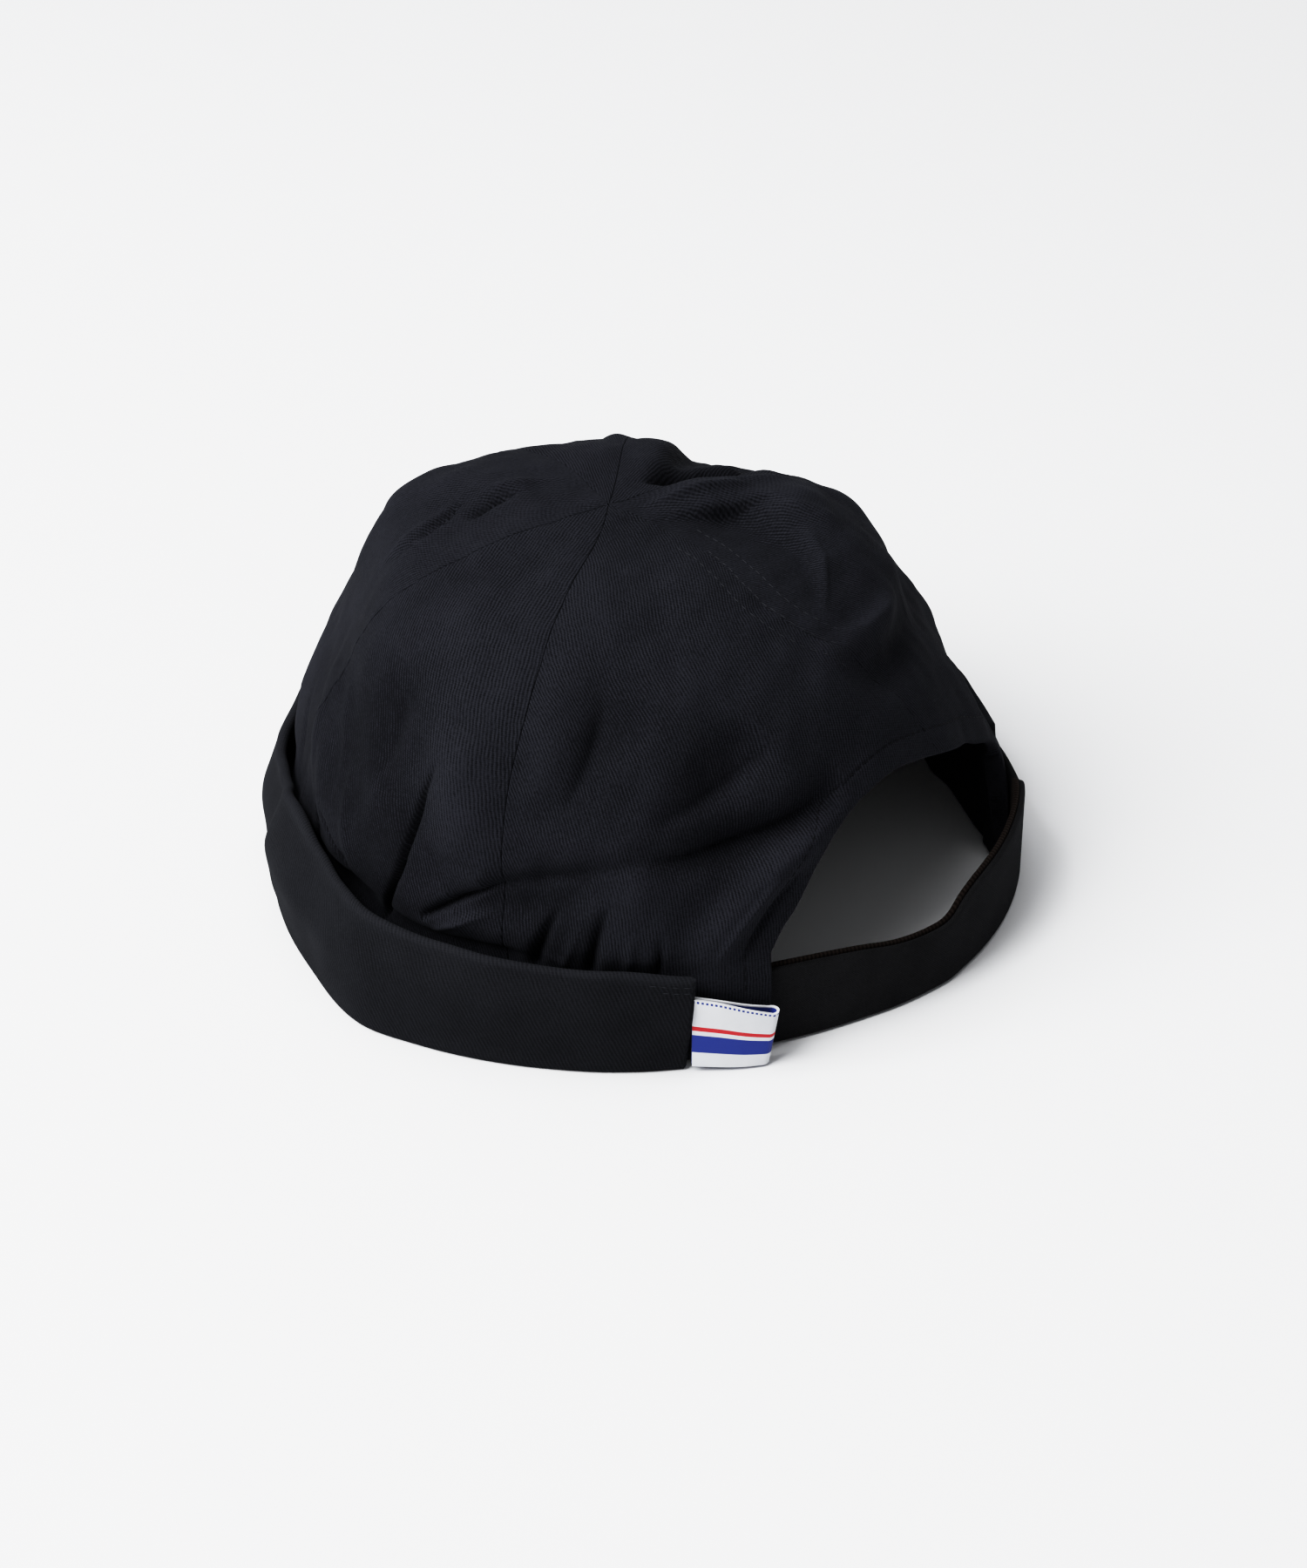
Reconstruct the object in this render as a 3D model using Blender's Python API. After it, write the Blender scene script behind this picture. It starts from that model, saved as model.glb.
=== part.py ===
"""A brimless cloth cap with a turned-up cuff and an open back closed by a strap.

Metres, +Z up. The cap rests on z = 0, its front faces -Y, its back opening +Y
and the wearer's left side +X. Angles go round the cap in degrees from +X, so 90
is the middle of the back. A rise goes up a panel from 0 at its hem to 1 at the
apex, where the panels meet.
"""

import math

import bmesh
import bpy
import numpy as np

# Driving sizes
HEAD_RADIUS = 0.0925      # outside of the crown at its hem
CROWN_HEIGHT = 0.103      # floor to apex
PANEL_WALL = 0.0012
CUFF_HEIGHT = 0.033
CUFF_WALL = 0.003         # two thicknesses of folded cloth
STRAP_HEIGHT = 0.024
STRAP_WALL = 0.0014
STRAP_LIP = 0.0015        # how far the inner layer stands above the outer one
LABEL_HEIGHT = 0.0185
LABEL_WALL = 0.0006
LABEL_LOOP = 0.0012       # open space between the label's two layers
SEAM_GAP = 0.0003
HEM_LIFT = 0.0006         # floor to the crown's hem
TIP_RADIUS = 0.0012       # where the panels' points stop round the apex
SEAM_DIP = 0.0006
SEAM_DIP_WIDTH = 0.004

# The crown's axis seen from the middle of the cap's box, in shares of HEAD_RADIUS
PLAN_CENTRE = (-0.0413, 0.0)

# The apex leans off the axis, in shares of HEAD_RADIUS
APEX_LEAN = (0.036, -0.089)

# Mesh fineness
PANEL_ROWS = 24
HEM_BAND_RISE = 0.05      # rows of points crowd together this near to the hem's edge
CUFF_STEPS = 60
STRAP_STEPS = 24
LABEL_STEPS = 6

# Sections of the crown: height in shares of CROWN_HEIGHT, radii in shares of
# HEAD_RADIUS, at eight angles a turn
CROWN_SECTIONS = (
    # rise, height, left, back left, back, back right, right, front right, front, front left
    (0.00, 0.000, 1.01, 1.01, 1.01, 1.00, 0.99, 1.00, 1.00, 0.99),
    (0.16, 0.220, 1.01, 1.01, 1.00, 1.00, 0.99, 1.00, 1.00, 0.99),
    (0.34, 0.460, 0.99, 0.96, 0.94, 0.92, 0.93, 0.95, 0.95, 0.92),
    (0.50, 0.670, 0.91, 0.89, 0.85, 0.77, 0.80, 0.84, 0.83, 0.79),
    (0.64, 0.830, 0.80, 0.77, 0.74, 0.71, 0.68, 0.68, 0.71, 0.69),
    (0.78, 0.940, 0.58, 0.56, 0.57, 0.58, 0.50, 0.47, 0.54, 0.56),
    (0.90, 0.985, 0.28, 0.27, 0.29, 0.31, 0.26, 0.24, 0.28, 0.29),
    (1.00, 1.000, 0.00, 0.00, 0.00, 0.00, 0.00, 0.00, 0.00, 0.00),
)

# Seams between the panels
SEAMS = (
    # name, angle at the hem, angle at the apex
    ("left", 15, 24),
    ("back", 100, 79),
    ("back_right", 150, 158),
    ("front_right", 208, 206),
    ("front", 268, 246),
    ("front_left", 320, 335),
)

# Panels, each from one seam to the next, with its columns of points
PANELS = (
    # name, first seam, last seam, columns
    ("crown_panel_back_left", "left", "back", 21),
    ("crown_panel_back_right", "back", "back_right", 11),
    ("crown_panel_right", "back_right", "front_right", 9),
    ("crown_panel_front_right", "front_right", "front", 9),
    ("crown_panel_front_left", "front", "front_left", 9),
    ("crown_panel_left", "front_left", "left", 17),
)

# Edge of the back opening
ARCH = (
    # angle, rise
    (54.5, 0.00),
    (55.5, 0.20),
    (58.0, 0.28),
    (64.0, 0.35),
    (72.0, 0.405),
    (82.0, 0.43),
    (94.0, 0.42),
    (106.0, 0.37),
    (116.0, 0.29),
    (123.0, 0.20),
    (125.0, 0.00),
)

# Folds, dents and gathers: a path from start to end that bows sideways by a share
# of its length; widths to its two sides and depth in shares of HEAD_RADIUS, depth
# below zero for a valley; peak says where along the path it is strongest
FOLDS = (
    # angle, rise, end angle, end rise, bow, width, other width, depth, peak
    (-9, 0.21, 1, 0.54, 0.05, 0.075, 0.080, -0.070, 0.20),
    (-12, 0.23, -38, 0.26, -0.10, 0.070, 0.080, -0.035, 0.35),
    (-13, 0.30, -40, 0.56, 0.20, 0.080, 0.090, 0.040, 0.45),
    (4, 0.255, 36, 0.41, -0.10, 0.085, 0.060, -0.035, 0.25),
    (4, 0.225, 18, 0.285, 0.00, 0.070, 0.070, 0.025, 0.50),
    (22, 0.20, 26, 0.33, 0.00, 0.060, 0.060, -0.022, 0.35),
    (41, 0.22, 34, 0.44, 0.05, 0.070, 0.070, 0.022, 0.50),
    (32, 0.74, 20, 0.42, 0.08, 0.120, 0.080, -0.035, 0.55),
    (58, 0.61, 36, 0.45, 0.05, 0.090, 0.100, -0.040, 0.45),
    (76, 0.50, 36, 0.40, 0.06, 0.075, 0.085, -0.045, 0.50),
    (48, 0.26, 78, 0.47, -0.14, 0.080, 0.090, 0.040, 0.50),
    (-8, 0.64, -8, 0.44, 0.00, 0.075, 0.075, -0.030, 0.50),
    (5, 0.56, 3, 0.34, 0.00, 0.080, 0.080, 0.035, 0.50),
    (-36, 0.86, -70, 0.91, 0.00, 0.065, 0.065, -0.030, 0.45),
    (-84, 0.92, -46, 0.60, -0.10, 0.080, 0.090, 0.020, 0.50),
    (176, 0.96, 157, 0.70, 0.00, 0.075, 0.085, -0.065, 0.65),
    (146, 0.94, 139, 0.72, 0.00, 0.080, 0.070, 0.050, 0.60),
    (202, 0.84, 172, 0.90, 0.00, 0.080, 0.070, -0.035, 0.50),
    (118, 0.94, 120, 0.78, 0.00, 0.080, 0.080, -0.030, 0.50),
    (110, 0.84, 86, 0.68, 0.00, 0.070, 0.070, 0.025, 0.50),
    (86, 0.66, 114, 0.59, 0.00, 0.070, 0.070, 0.025, 0.50),
    (124, 0.68, 134, 0.50, 0.00, 0.080, 0.080, 0.025, 0.50),
    (108, 0.52, 142, 0.38, 0.06, 0.080, 0.080, -0.030, 0.50),
    (166, 0.24, 172, 0.50, 0.05, 0.080, 0.080, -0.040, 0.30),
    (186, 0.27, 190, 0.48, 0.05, 0.090, 0.090, 0.030, 0.45),
    (201, 0.24, 206, 0.44, 0.00, 0.080, 0.080, -0.035, 0.35),
    (226, 0.24, 252, 0.46, 0.10, 0.080, 0.080, -0.040, 0.35),
    (238, 0.27, 262, 0.38, 0.08, 0.080, 0.080, 0.025, 0.50),
    (276, 0.24, 270, 0.50, 0.05, 0.080, 0.080, -0.040, 0.30),
    (292, 0.30, 296, 0.46, 0.00, 0.080, 0.080, 0.022, 0.50),
    (306, 0.24, 300, 0.46, 0.05, 0.080, 0.080, -0.035, 0.35),
)
FOLD_REACH = 1.6          # how quickly a fold dies out towards its ends
FOLD_START_RISE = 0.08    # below this rise the cloth lies smooth against the cuff
FOLD_FULL_RISE = 0.22

# The cuff: how far its inside stands off the crown in shares of HEAD_RADIUS, and
# its height in shares of CUFF_HEIGHT
CUFF_SECTIONS = (
    # angle, foot, middle, top, height
    (42, 0.000, 0.008, 0.010, 0.82),
    (20, 0.026, 0.042, 0.034, 0.92),
    (0, 0.082, 0.086, 0.062, 0.98),
    (-20, 0.040, 0.060, 0.046, 1.00),
    (-38, 0.020, 0.047, 0.031, 1.02),
    (-52, 0.023, 0.048, 0.037, 0.94),
    (-68, 0.018, 0.032, 0.013, 0.95),
    (-90, 0.016, 0.029, 0.024, 0.98),
    (-120, 0.020, 0.035, 0.028, 1.00),
    (-150, 0.016, 0.028, 0.022, 0.97),
    (-180, 0.012, 0.022, 0.014, 0.92),
    (-205, 0.006, 0.015, 0.008, 0.86),
    (-223, 0.000, 0.010, 0.004, 0.78),
)

# The strap's outer layer: 0 where it lies inside the crown's hem and 1 where it lies
# outside it, how far it bows out in shares of HEAD_RADIUS, and its height in shares
# of STRAP_HEIGHT
STRAP_SECTIONS = (
    # angle, side, bow, height
    (51.0, 0.0, -0.006, 1.00),
    (56.0, 0.0, -0.006, 1.02),
    (66.0, 0.2, 0.016, 1.00),
    (76.0, 0.5, 0.034, 0.96),
    (88.0, 0.8, 0.050, 0.94),
    (102.0, 1.0, 0.052, 0.96),
    (116.0, 1.0, 0.048, 0.96),
    (127.0, 1.0, 0.036, 0.88),
    (136.8, 1.0, 0.006, 0.84),
)
INNER_STRAP_START = 57.0
INNER_STRAP_END = 121.5

# The label: how far it stands off the crown in shares of HEAD_RADIUS, its foot and
# top in shares of LABEL_HEIGHT
LABEL_SECTIONS = (
    # angle, stand, foot, top
    (42.2, 0.012, 0.08, 1.08),
    (47.0, 0.020, 0.07, 1.02),
    (51.0, 0.027, 0.08, 0.94),
    (54.5, 0.035, 0.10, 0.86),
)


def smooth_step(value):
    """0 below 0, 1 above 1, with a soft change between."""
    t = np.clip(value, 0.0, 1.0)
    return t * t * (3.0 - 2.0 * t)


def round_curve(values, angle):
    """Smooth closed curve through equally spaced values, read at an angle in degrees."""
    count = len(values)
    place = np.mod(angle, 360.0) * count / 360.0
    index = np.floor(place).astype(int)
    t = place - index
    p0, p1, p2, p3 = (np.take(values, (index + k) % count) for k in (-1, 0, 1, 2))
    return p1 + 0.5 * t * (p2 - p0 + t * (2 * p0 - 5 * p1 + 4 * p2 - p3 + t * (3 * (p1 - p2) + p3 - p0)))


def smooth_curve(places, columns, place):
    """Smooth curve through rows at uneven places; columns has a row's values first."""
    last = len(places) - 1
    k = np.clip(np.searchsorted(places, place, side="right") - 1, 0, last - 1)

    def value(j):
        return np.take_along_axis(columns, np.clip(j, 0, last)[None, ...], axis=0)[0]

    def slope(j):
        low, high = np.clip(j - 1, 0, last), np.clip(j + 1, 0, last)
        return (value(high) - value(low)) / (places[high] - places[low])

    span = places[k + 1] - places[k]
    t = (np.clip(place, places[0], places[-1]) - places[k]) / span
    rising = t * t * (3.0 - 2.0 * t)
    leaving = (t - 1.0) ** 2 * t * span * slope(k)
    arriving = (t - 1.0) * t * t * span * slope(k + 1)
    return value(k) + rising * (value(k + 1) - value(k)) + leaving + arriving


def table_curve(table, column, place):
    """Smooth curve through one column of a table whose first column is the place."""
    rows = sorted(table)
    places = np.array([row[0] for row in rows], dtype=float)
    place = np.atleast_1d(np.asarray(place, dtype=float))
    columns = np.array([np.full(place.shape, row[column]) for row in rows])
    return smooth_curve(places, columns, place)


def smooth_form(angle, rise):
    """Points of the crown's outside before any fold, at arrays of angles and rises."""
    angle, rise = np.broadcast_arrays(np.asarray(angle, float), np.asarray(rise, float))
    places = np.array([row[0] for row in CROWN_SECTIONS])
    heights = np.array([np.full(angle.shape, row[1]) for row in CROWN_SECTIONS])
    radii = np.array([round_curve(row[2:], angle) for row in CROWN_SECTIONS])
    height = smooth_curve(places, heights, rise)
    radius = smooth_curve(places, radii, rise) * HEAD_RADIUS
    lean = np.clip(height, 0.0, 1.0) ** 2 * HEAD_RADIUS
    turn = np.radians(angle)
    x = radius * np.cos(turn) + (APEX_LEAN[0] * lean + PLAN_CENTRE[0] * HEAD_RADIUS)
    y = radius * np.sin(turn) + (APEX_LEAN[1] * lean + PLAN_CENTRE[1] * HEAD_RADIUS)
    return np.stack([x, y, height * CROWN_HEIGHT], axis=-1)


def form_radius(rise):
    """Mean radius of the crown at a rise."""
    means = [(row[0], sum(row[2:]) / len(row[2:])) for row in CROWN_SECTIONS]
    return np.interp(rise, [m[0] for m in means], [m[1] for m in means]) * HEAD_RADIUS


def form_normal(angle, rise):
    """Outward direction of the smooth form."""
    step = 0.5
    lift = 0.004
    high = np.minimum(rise + lift, 0.995)
    low = np.minimum(rise, 0.99) - lift
    along = smooth_form(angle + step, rise) - smooth_form(angle - step, rise)
    up = smooth_form(angle, high) - smooth_form(angle, low)
    normal = np.cross(along, up)
    return normal / np.linalg.norm(normal, axis=-1, keepdims=True)


def fold_height(angle, rise, fold):
    """How far one fold lifts the cloth off the smooth form."""
    start_angle, start_rise, end_angle, end_rise, bow, width, other, depth, peak = fold
    meridian = CROWN_HEIGHT + HEAD_RADIUS * 0.55
    middle_radius = form_radius(0.5 * (start_rise + end_rise))
    degree = math.radians(1.0)
    near = np.mod(angle - start_angle + 180.0, 360.0) - 180.0
    x = near * degree * form_radius(rise)
    y = (rise - start_rise) * meridian
    end_x = (end_angle - start_angle) * degree * middle_radius
    end_y = (end_rise - start_rise) * meridian
    length = math.hypot(end_x, end_y)
    along = (x * end_x + y * end_y) / length
    across = (y * end_x - x * end_y) / length
    t = np.clip(along / length, 0.0, 1.0)
    across = across - bow * length * 4.0 * t * (1.0 - t)
    beyond = along - t * length
    side = np.where(across > 0.0, width, other) * HEAD_RADIUS
    distance = (across / side) ** 2 + (beyond / (min(width, other) * HEAD_RADIUS)) ** 2
    strength = (t / peak) ** (FOLD_REACH * peak)
    strength = strength * ((1.0 - t) / (1.0 - peak)) ** (FOLD_REACH * (1.0 - peak))
    return depth * HEAD_RADIUS * strength * np.exp(-distance)


def seam_angle(name, rise):
    """Angle of a seam at a rise."""
    at_hem, at_apex = next(row[1:] for row in SEAMS if row[0] == name)
    return at_hem + (at_apex - at_hem) * rise


def relief(angle, rise):
    """All folds together, and the shallow dip along each seam."""
    total = np.zeros(np.broadcast(angle, rise).shape)
    for fold in FOLDS:
        total = total + fold_height(angle, rise, fold)
    ramp = (rise - FOLD_START_RISE) / (FOLD_FULL_RISE - FOLD_START_RISE)
    total = total * smooth_step(ramp)
    for name, _, _ in SEAMS:
        away = np.mod(angle - seam_angle(name, rise) + 180.0, 360.0) - 180.0
        distance = np.radians(away) * form_radius(rise)
        total = total - SEAM_DIP * np.exp(-(distance / SEAM_DIP_WIDTH) ** 2)
    return total


def crown_surface(angle, rise, inward=0.0):
    """Points of the folded crown, moved inward by a wall's thickness if asked."""
    lifted = relief(angle, rise) - inward
    return smooth_form(angle, rise) + form_normal(angle, rise) * lifted[..., None]


def opening_rise(angle):
    """Lowest rise that has cloth at an angle: the hem, or the edge of the opening."""
    angles = np.array([row[0] for row in ARCH])
    rises = np.array([row[1] for row in ARCH])
    return np.interp(angle, angles, rises, left=0.0, right=0.0)


def panel_columns(start, end, count):
    """Shares of a panel's width where it has a column of points."""
    first, last = seam_angle(start, 0.0), seam_angle(end, 0.0)
    span = (last - first) % 360.0
    feet = [(row[0] - first) / span for row in ARCH[:2] + ARCH[-2:]]
    even = [k / count for k in range(count + 1)]
    return sorted(even + [share for share in feet if 0.0 < share < 1.0])


def panel_angle(start, end, share, rise):
    """Angle of a panel's column at a rise, clear of its seams by half a gap."""
    first = seam_angle(start, rise)
    span = (seam_angle(end, rise) - first) % 360.0
    gap = np.degrees(0.5 * SEAM_GAP / form_radius(rise))
    return first + gap + share * (span - 2.0 * gap)


def column_rises(start, end, share):
    """Rises of a column's points, from the hem or the opening's edge to the tip."""
    tip = 1.0 - 0.1 * TIP_RADIUS / float(form_radius(0.9))
    trial = np.linspace(0.0, 0.9, 901)
    clear = trial >= opening_rise(panel_angle(start, end, share, trial))
    lowest = max(trial[np.argmax(clear)], HEM_LIFT / CROWN_HEIGHT)
    even = np.linspace(0.0, tip, PANEL_ROWS + 1)
    edge = lowest + HEM_BAND_RISE
    squeezed = lowest + even * HEM_BAND_RISE / edge
    return np.where(even < edge, squeezed, even)


def panel_rings(start, end, count):
    """One ring of points for each column: up the outside and down the inside."""
    rings = []
    for share in panel_columns(start, end, count):
        rises = column_rises(start, end, share)
        angle = panel_angle(start, end, share, rises)
        outside = crown_surface(angle, rises)
        inside = crown_surface(angle, rises, PANEL_WALL)
        rings.append(np.vstack([outside, inside[::-1]]))
    return rings


def place_ring(angle, profile):
    """Points of a profile of radii and heights, stood up at an angle round the cap."""
    turn = math.radians(angle)
    x = PLAN_CENTRE[0] * HEAD_RADIUS
    y = PLAN_CENTRE[1] * HEAD_RADIUS
    return np.array([(x + r * math.cos(turn), y + r * math.sin(turn), z) for r, z in profile])


def crown_radius(angle, rise):
    """Radius of the crown's smooth form about the axis, near its hem."""
    point = smooth_form(angle, rise)
    x = point[..., 0] - PLAN_CENTRE[0] * HEAD_RADIUS
    y = point[..., 1] - PLAN_CENTRE[1] * HEAD_RADIUS
    return float(np.hypot(x, y))


def row_value(table, column, angle):
    """One value of a table at one angle."""
    return float(table_curve(table, column, angle)[0])


def rise_of(height):
    """Rise at which the crown reaches a height."""
    shares = [row[1] for row in CROWN_SECTIONS]
    return float(np.interp(height / CROWN_HEIGHT, shares, [row[0] for row in CROWN_SECTIONS]))


def cuff_profile(angle):
    """Section of the cuff: a flat foot against the crown's hem and a folded top."""
    at_foot, at_middle, at_top, share = (row_value(CUFF_SECTIONS, k, angle) for k in (1, 2, 3, 4))
    height = share * CUFF_HEIGHT
    stations = ((0.1, at_foot), (0.33, 0.4 * at_foot + 0.6 * at_middle), (0.6, at_middle), (0.95, at_top))
    foot, low, middle, top = (
        crown_radius(angle, rise_of(level * height)) + SEAM_GAP + CUFF_WALL + stand * HEAD_RADIUS
        for level, stand in stations
    )
    wall = CUFF_WALL
    hem = crown_radius(angle, 0.02) + SEAM_GAP
    sole = 0.8 * wall
    return (
        (hem + 0.2 * wall, 0.0),
        (hem, 0.2 * wall),
        (hem, sole),
        (0.5 * (hem + foot - wall), sole),
        (foot - wall, 1.3 * sole),
        (low - wall, 0.33 * height),
        (middle - wall, 0.6 * height),
        (top - wall, height - 0.5 * wall),
        (top - 0.8 * wall, height - 0.1 * wall),
        (top - 0.5 * wall, height),
        (top - 0.2 * wall, height - 0.1 * wall),
        (top, height - 0.5 * wall),
        (middle, 0.6 * height),
        (low, 0.33 * height),
        (foot + 0.2 * (low - foot), 1.6 * sole),
        (foot, 0.9 * sole),
        (foot - 0.1 * wall, 0.3 * sole),
        (foot - 0.4 * wall, 0.0),
    )


def strap_profile(radius, height, wall):
    """Section of a strap layer, standing on the hem's level, its corners eased."""
    ease = 0.25 * wall
    inner = radius - wall
    return (
        (radius - ease, HEM_LIFT),
        (radius, HEM_LIFT + ease),
        (radius, height - ease),
        (radius - ease, height),
        (inner + ease, height),
        (inner, height - ease),
        (inner, HEM_LIFT + ease),
        (inner + ease, HEM_LIFT),
    )


def strap_rings(first, last, inset, lip):
    """Rings of one strap layer between two angles, set in and raised by a lip."""
    rings = []
    for angle in np.linspace(first, last, STRAP_STEPS + 1):
        side = row_value(STRAP_SECTIONS, 1, angle)
        outside = side * (SEAM_GAP + STRAP_WALL) - (1.0 - side) * (SEAM_GAP + PANEL_WALL)
        radius = crown_radius(angle, 0.1) + outside + row_value(STRAP_SECTIONS, 2, angle) * HEAD_RADIUS
        height = row_value(STRAP_SECTIONS, 3, angle) * STRAP_HEIGHT
        rings.append(place_ring(angle, strap_profile(radius - inset, height + lip, STRAP_WALL)))
    return rings


def label_path():
    """Middle line of the label's loop as angles, radii, feet and tops."""
    first, last = LABEL_SECTIONS[0][0], LABEL_SECTIONS[-1][0]
    half = 0.5 * (LABEL_LOOP + LABEL_WALL)
    path = []
    for angle in np.linspace(first, last, LABEL_STEPS + 1):
        path.append((angle, 0.0))
    bend = [0.25 * math.pi * k for k in (1, 2, 3)]
    arc = math.degrees(half / HEAD_RADIUS)
    for turn in bend:
        path.append((last + arc * math.sin(turn), half * (1.0 - math.cos(turn))))
    for angle in np.linspace(last, first, LABEL_STEPS + 1):
        path.append((angle, 2.0 * half))
    rows = []
    for angle, inset in path:
        stand, foot, top = (row_value(LABEL_SECTIONS, k, angle) for k in (1, 2, 3))
        outside = SEAM_GAP + 2.0 * LABEL_WALL + LABEL_LOOP + stand * HEAD_RADIUS
        middle = crown_radius(angle, 0.1) + outside - 0.5 * LABEL_WALL - inset
        rows.append((angle, middle, foot * LABEL_HEIGHT, top * LABEL_HEIGHT))
    return rows


def label_rings():
    """Rings of the folded label, one for each step along its loop."""
    rows = label_path()
    line = np.array([place_ring(row[0], ((row[1], 0.0),))[0][:2] for row in rows])
    ahead = np.gradient(line, axis=0)
    side = np.stack([ahead[:, 1], -ahead[:, 0]], axis=-1)
    side = side / np.linalg.norm(side, axis=-1, keepdims=True) * 0.5 * LABEL_WALL
    rings = []
    for k, (_, _, foot, top) in enumerate(rows):
        out, back = line[k] + side[k], line[k] - side[k]
        rings.append(np.array([(*out, foot), (*out, top), (*back, top), (*back, foot)]))
    return rings


def make_material(name, colour, roughness):
    """Plain cloth finish with a soft sheen."""
    material = bpy.data.materials.new(name)
    material.use_nodes = True
    shader = material.node_tree.nodes["Principled BSDF"]
    shader.inputs["Base Color"].default_value = (*colour, 1.0)
    shader.inputs["Roughness"].default_value = roughness
    shader.inputs["Metallic"].default_value = 0.0
    material.diffuse_color = (*colour, 1.0)
    return material


def loft(name, rings, material):
    """Closed body through rings; a ring's first half runs up one side of the wall
    and its second half down the other, so each end is closed by a ladder of faces."""
    shape = bmesh.new()
    loops = [[shape.verts.new(point) for point in ring] for ring in rings]
    count = len(loops[0])
    for left, right in zip(loops, loops[1:]):
        for k in range(count):
            after = (k + 1) % count
            shape.faces.new((left[k], right[k], right[after], left[after]))
    for loop in (loops[0], loops[-1]):
        for k in range(count // 2 - 1):
            shape.faces.new((loop[k], loop[k + 1], loop[count - 2 - k], loop[count - 1 - k]))
    bmesh.ops.recalc_face_normals(shape, faces=shape.faces)
    mesh = bpy.data.meshes.new(name)
    shape.to_mesh(mesh)
    shape.free()
    mesh.materials.append(material)
    mesh.shade_smooth()
    mesh.set_sharp_from_angle(angle=math.radians(50.0))
    body = bpy.data.objects.new(name, mesh)
    bpy.context.scene.collection.objects.link(body)
    return body


def make_crown(cloth):
    """The six panels."""
    for name, start, end, count in PANELS:
        loft(name, panel_rings(start, end, count), cloth)


def make_cuff(cloth):
    """The turned-up cuff, round the front from one side of the opening to the other."""
    first, last = CUFF_SECTIONS[-1][0], CUFF_SECTIONS[0][0]
    angles = np.linspace(first, last, CUFF_STEPS + 1)
    loft("cuff", [place_ring(angle, cuff_profile(angle)) for angle in angles], cloth)


def make_strap(outer_cloth, inner_cloth):
    """The strap's two layers under the opening."""
    first, last = STRAP_SECTIONS[0][0], STRAP_SECTIONS[-1][0]
    loft("strap_outer", strap_rings(first, last, 0.0, 0.0), outer_cloth)
    inset = STRAP_WALL + SEAM_GAP
    rings = strap_rings(INNER_STRAP_START, INNER_STRAP_END, inset, STRAP_LIP)
    loft("strap_inner", rings, inner_cloth)


def main():
    """Empty the scene and build the cap."""
    for item in list(bpy.data.objects):
        bpy.data.objects.remove(item, do_unlink=True)
    twill = make_material("black_twill", (0.009, 0.0095, 0.012), 0.9)
    webbing = make_material("black_webbing", (0.008, 0.008, 0.009), 0.85)
    lining = make_material("brown_black_binding", (0.014, 0.010, 0.009), 0.9)
    woven = make_material("white_woven_label", (0.75, 0.76, 0.78), 0.75)
    make_crown(twill)
    make_cuff(twill)
    make_strap(webbing, lining)
    loft("label", label_rings(), woven)


main()
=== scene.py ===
from math import cos, degrees, hypot, pi, radians, sin, sqrt

import bmesh
import bpy
import numpy as np
from mathutils import Matrix, Vector


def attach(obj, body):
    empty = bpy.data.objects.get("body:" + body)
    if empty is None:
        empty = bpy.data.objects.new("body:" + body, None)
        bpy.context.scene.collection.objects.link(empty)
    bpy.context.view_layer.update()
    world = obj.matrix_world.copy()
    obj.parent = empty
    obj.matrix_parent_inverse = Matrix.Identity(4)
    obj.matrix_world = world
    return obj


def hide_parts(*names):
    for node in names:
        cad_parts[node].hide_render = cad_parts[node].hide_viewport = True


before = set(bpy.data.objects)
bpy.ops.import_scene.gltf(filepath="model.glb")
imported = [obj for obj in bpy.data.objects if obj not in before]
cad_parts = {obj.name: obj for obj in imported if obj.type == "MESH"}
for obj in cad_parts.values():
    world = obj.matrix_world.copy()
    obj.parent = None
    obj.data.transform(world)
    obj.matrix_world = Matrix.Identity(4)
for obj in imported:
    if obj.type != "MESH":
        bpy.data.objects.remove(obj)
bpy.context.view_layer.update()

HEAD_RADIUS = 0.0925
CROWN_HEIGHT = 0.103
MERIDIAN = CROWN_HEIGHT + 0.55 * HEAD_RADIUS    # way over the cloth from hem to apex
PLAN_CENTRE = (-0.0413 * HEAD_RADIUS, 0.0)      # where the crown's own axis stands
APEX_LEAN = (0.036, -0.089)
PANEL_WALL = 0.0012
SEAM_GAP = 0.0003
SEAM_TOUCH = 0.00004      # what is left open between two sewn panels
SEAM_ROLL = 0.0004        # how the cloth turns down into a seam
SEAM_DIP = 0.0006
SEAM_DIP_WIDTH = 0.004
SEAM_DIP_SHARES = {"front_left": -0.5, "back": 0.4}
PUCKER = 0.00008
PUCKER_WIDTH = 0.006
TIP_RADIUS = 0.0012
APEX_RAISE = -0.0012
HEM_LIFT = 0.0006
HEM_WIDTH = 0.0085        # folded hem round the back opening
HEM_WALL = 0.0022
HEM_STEP = 0.0002         # how far the hem's doubled cloth stands out
HEM_STITCH_INSET = 0.0016
HEM_GROOVE = 0.00022      # and how deep its row of stitches draws it in
CUFF_HEIGHT = 0.033
CUFF_WALL = 0.003
CUFF_SOLE = 0.0024
CUFF_FOOT_ROUND = 0.0012
CUFF_END_SLANT = 1.6      # degrees that the cuff's end leans over its height
CUFF_TUCK = 0.0032        # how far the crown draws in behind the cuff's left part
CUFF_TUCK_RISE = 0.165
CUFF_TUCK_SPREAD = 0.036
CUFF_TUCK_ANGLE, CUFF_TUCK_REACH, CUFF_TUCK_FADE = 3.0, 42.0, 12.0      # degrees
CUFF_OVERLAP_STEP = 0.0010      # where the cuff's cloth overlaps itself
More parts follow.
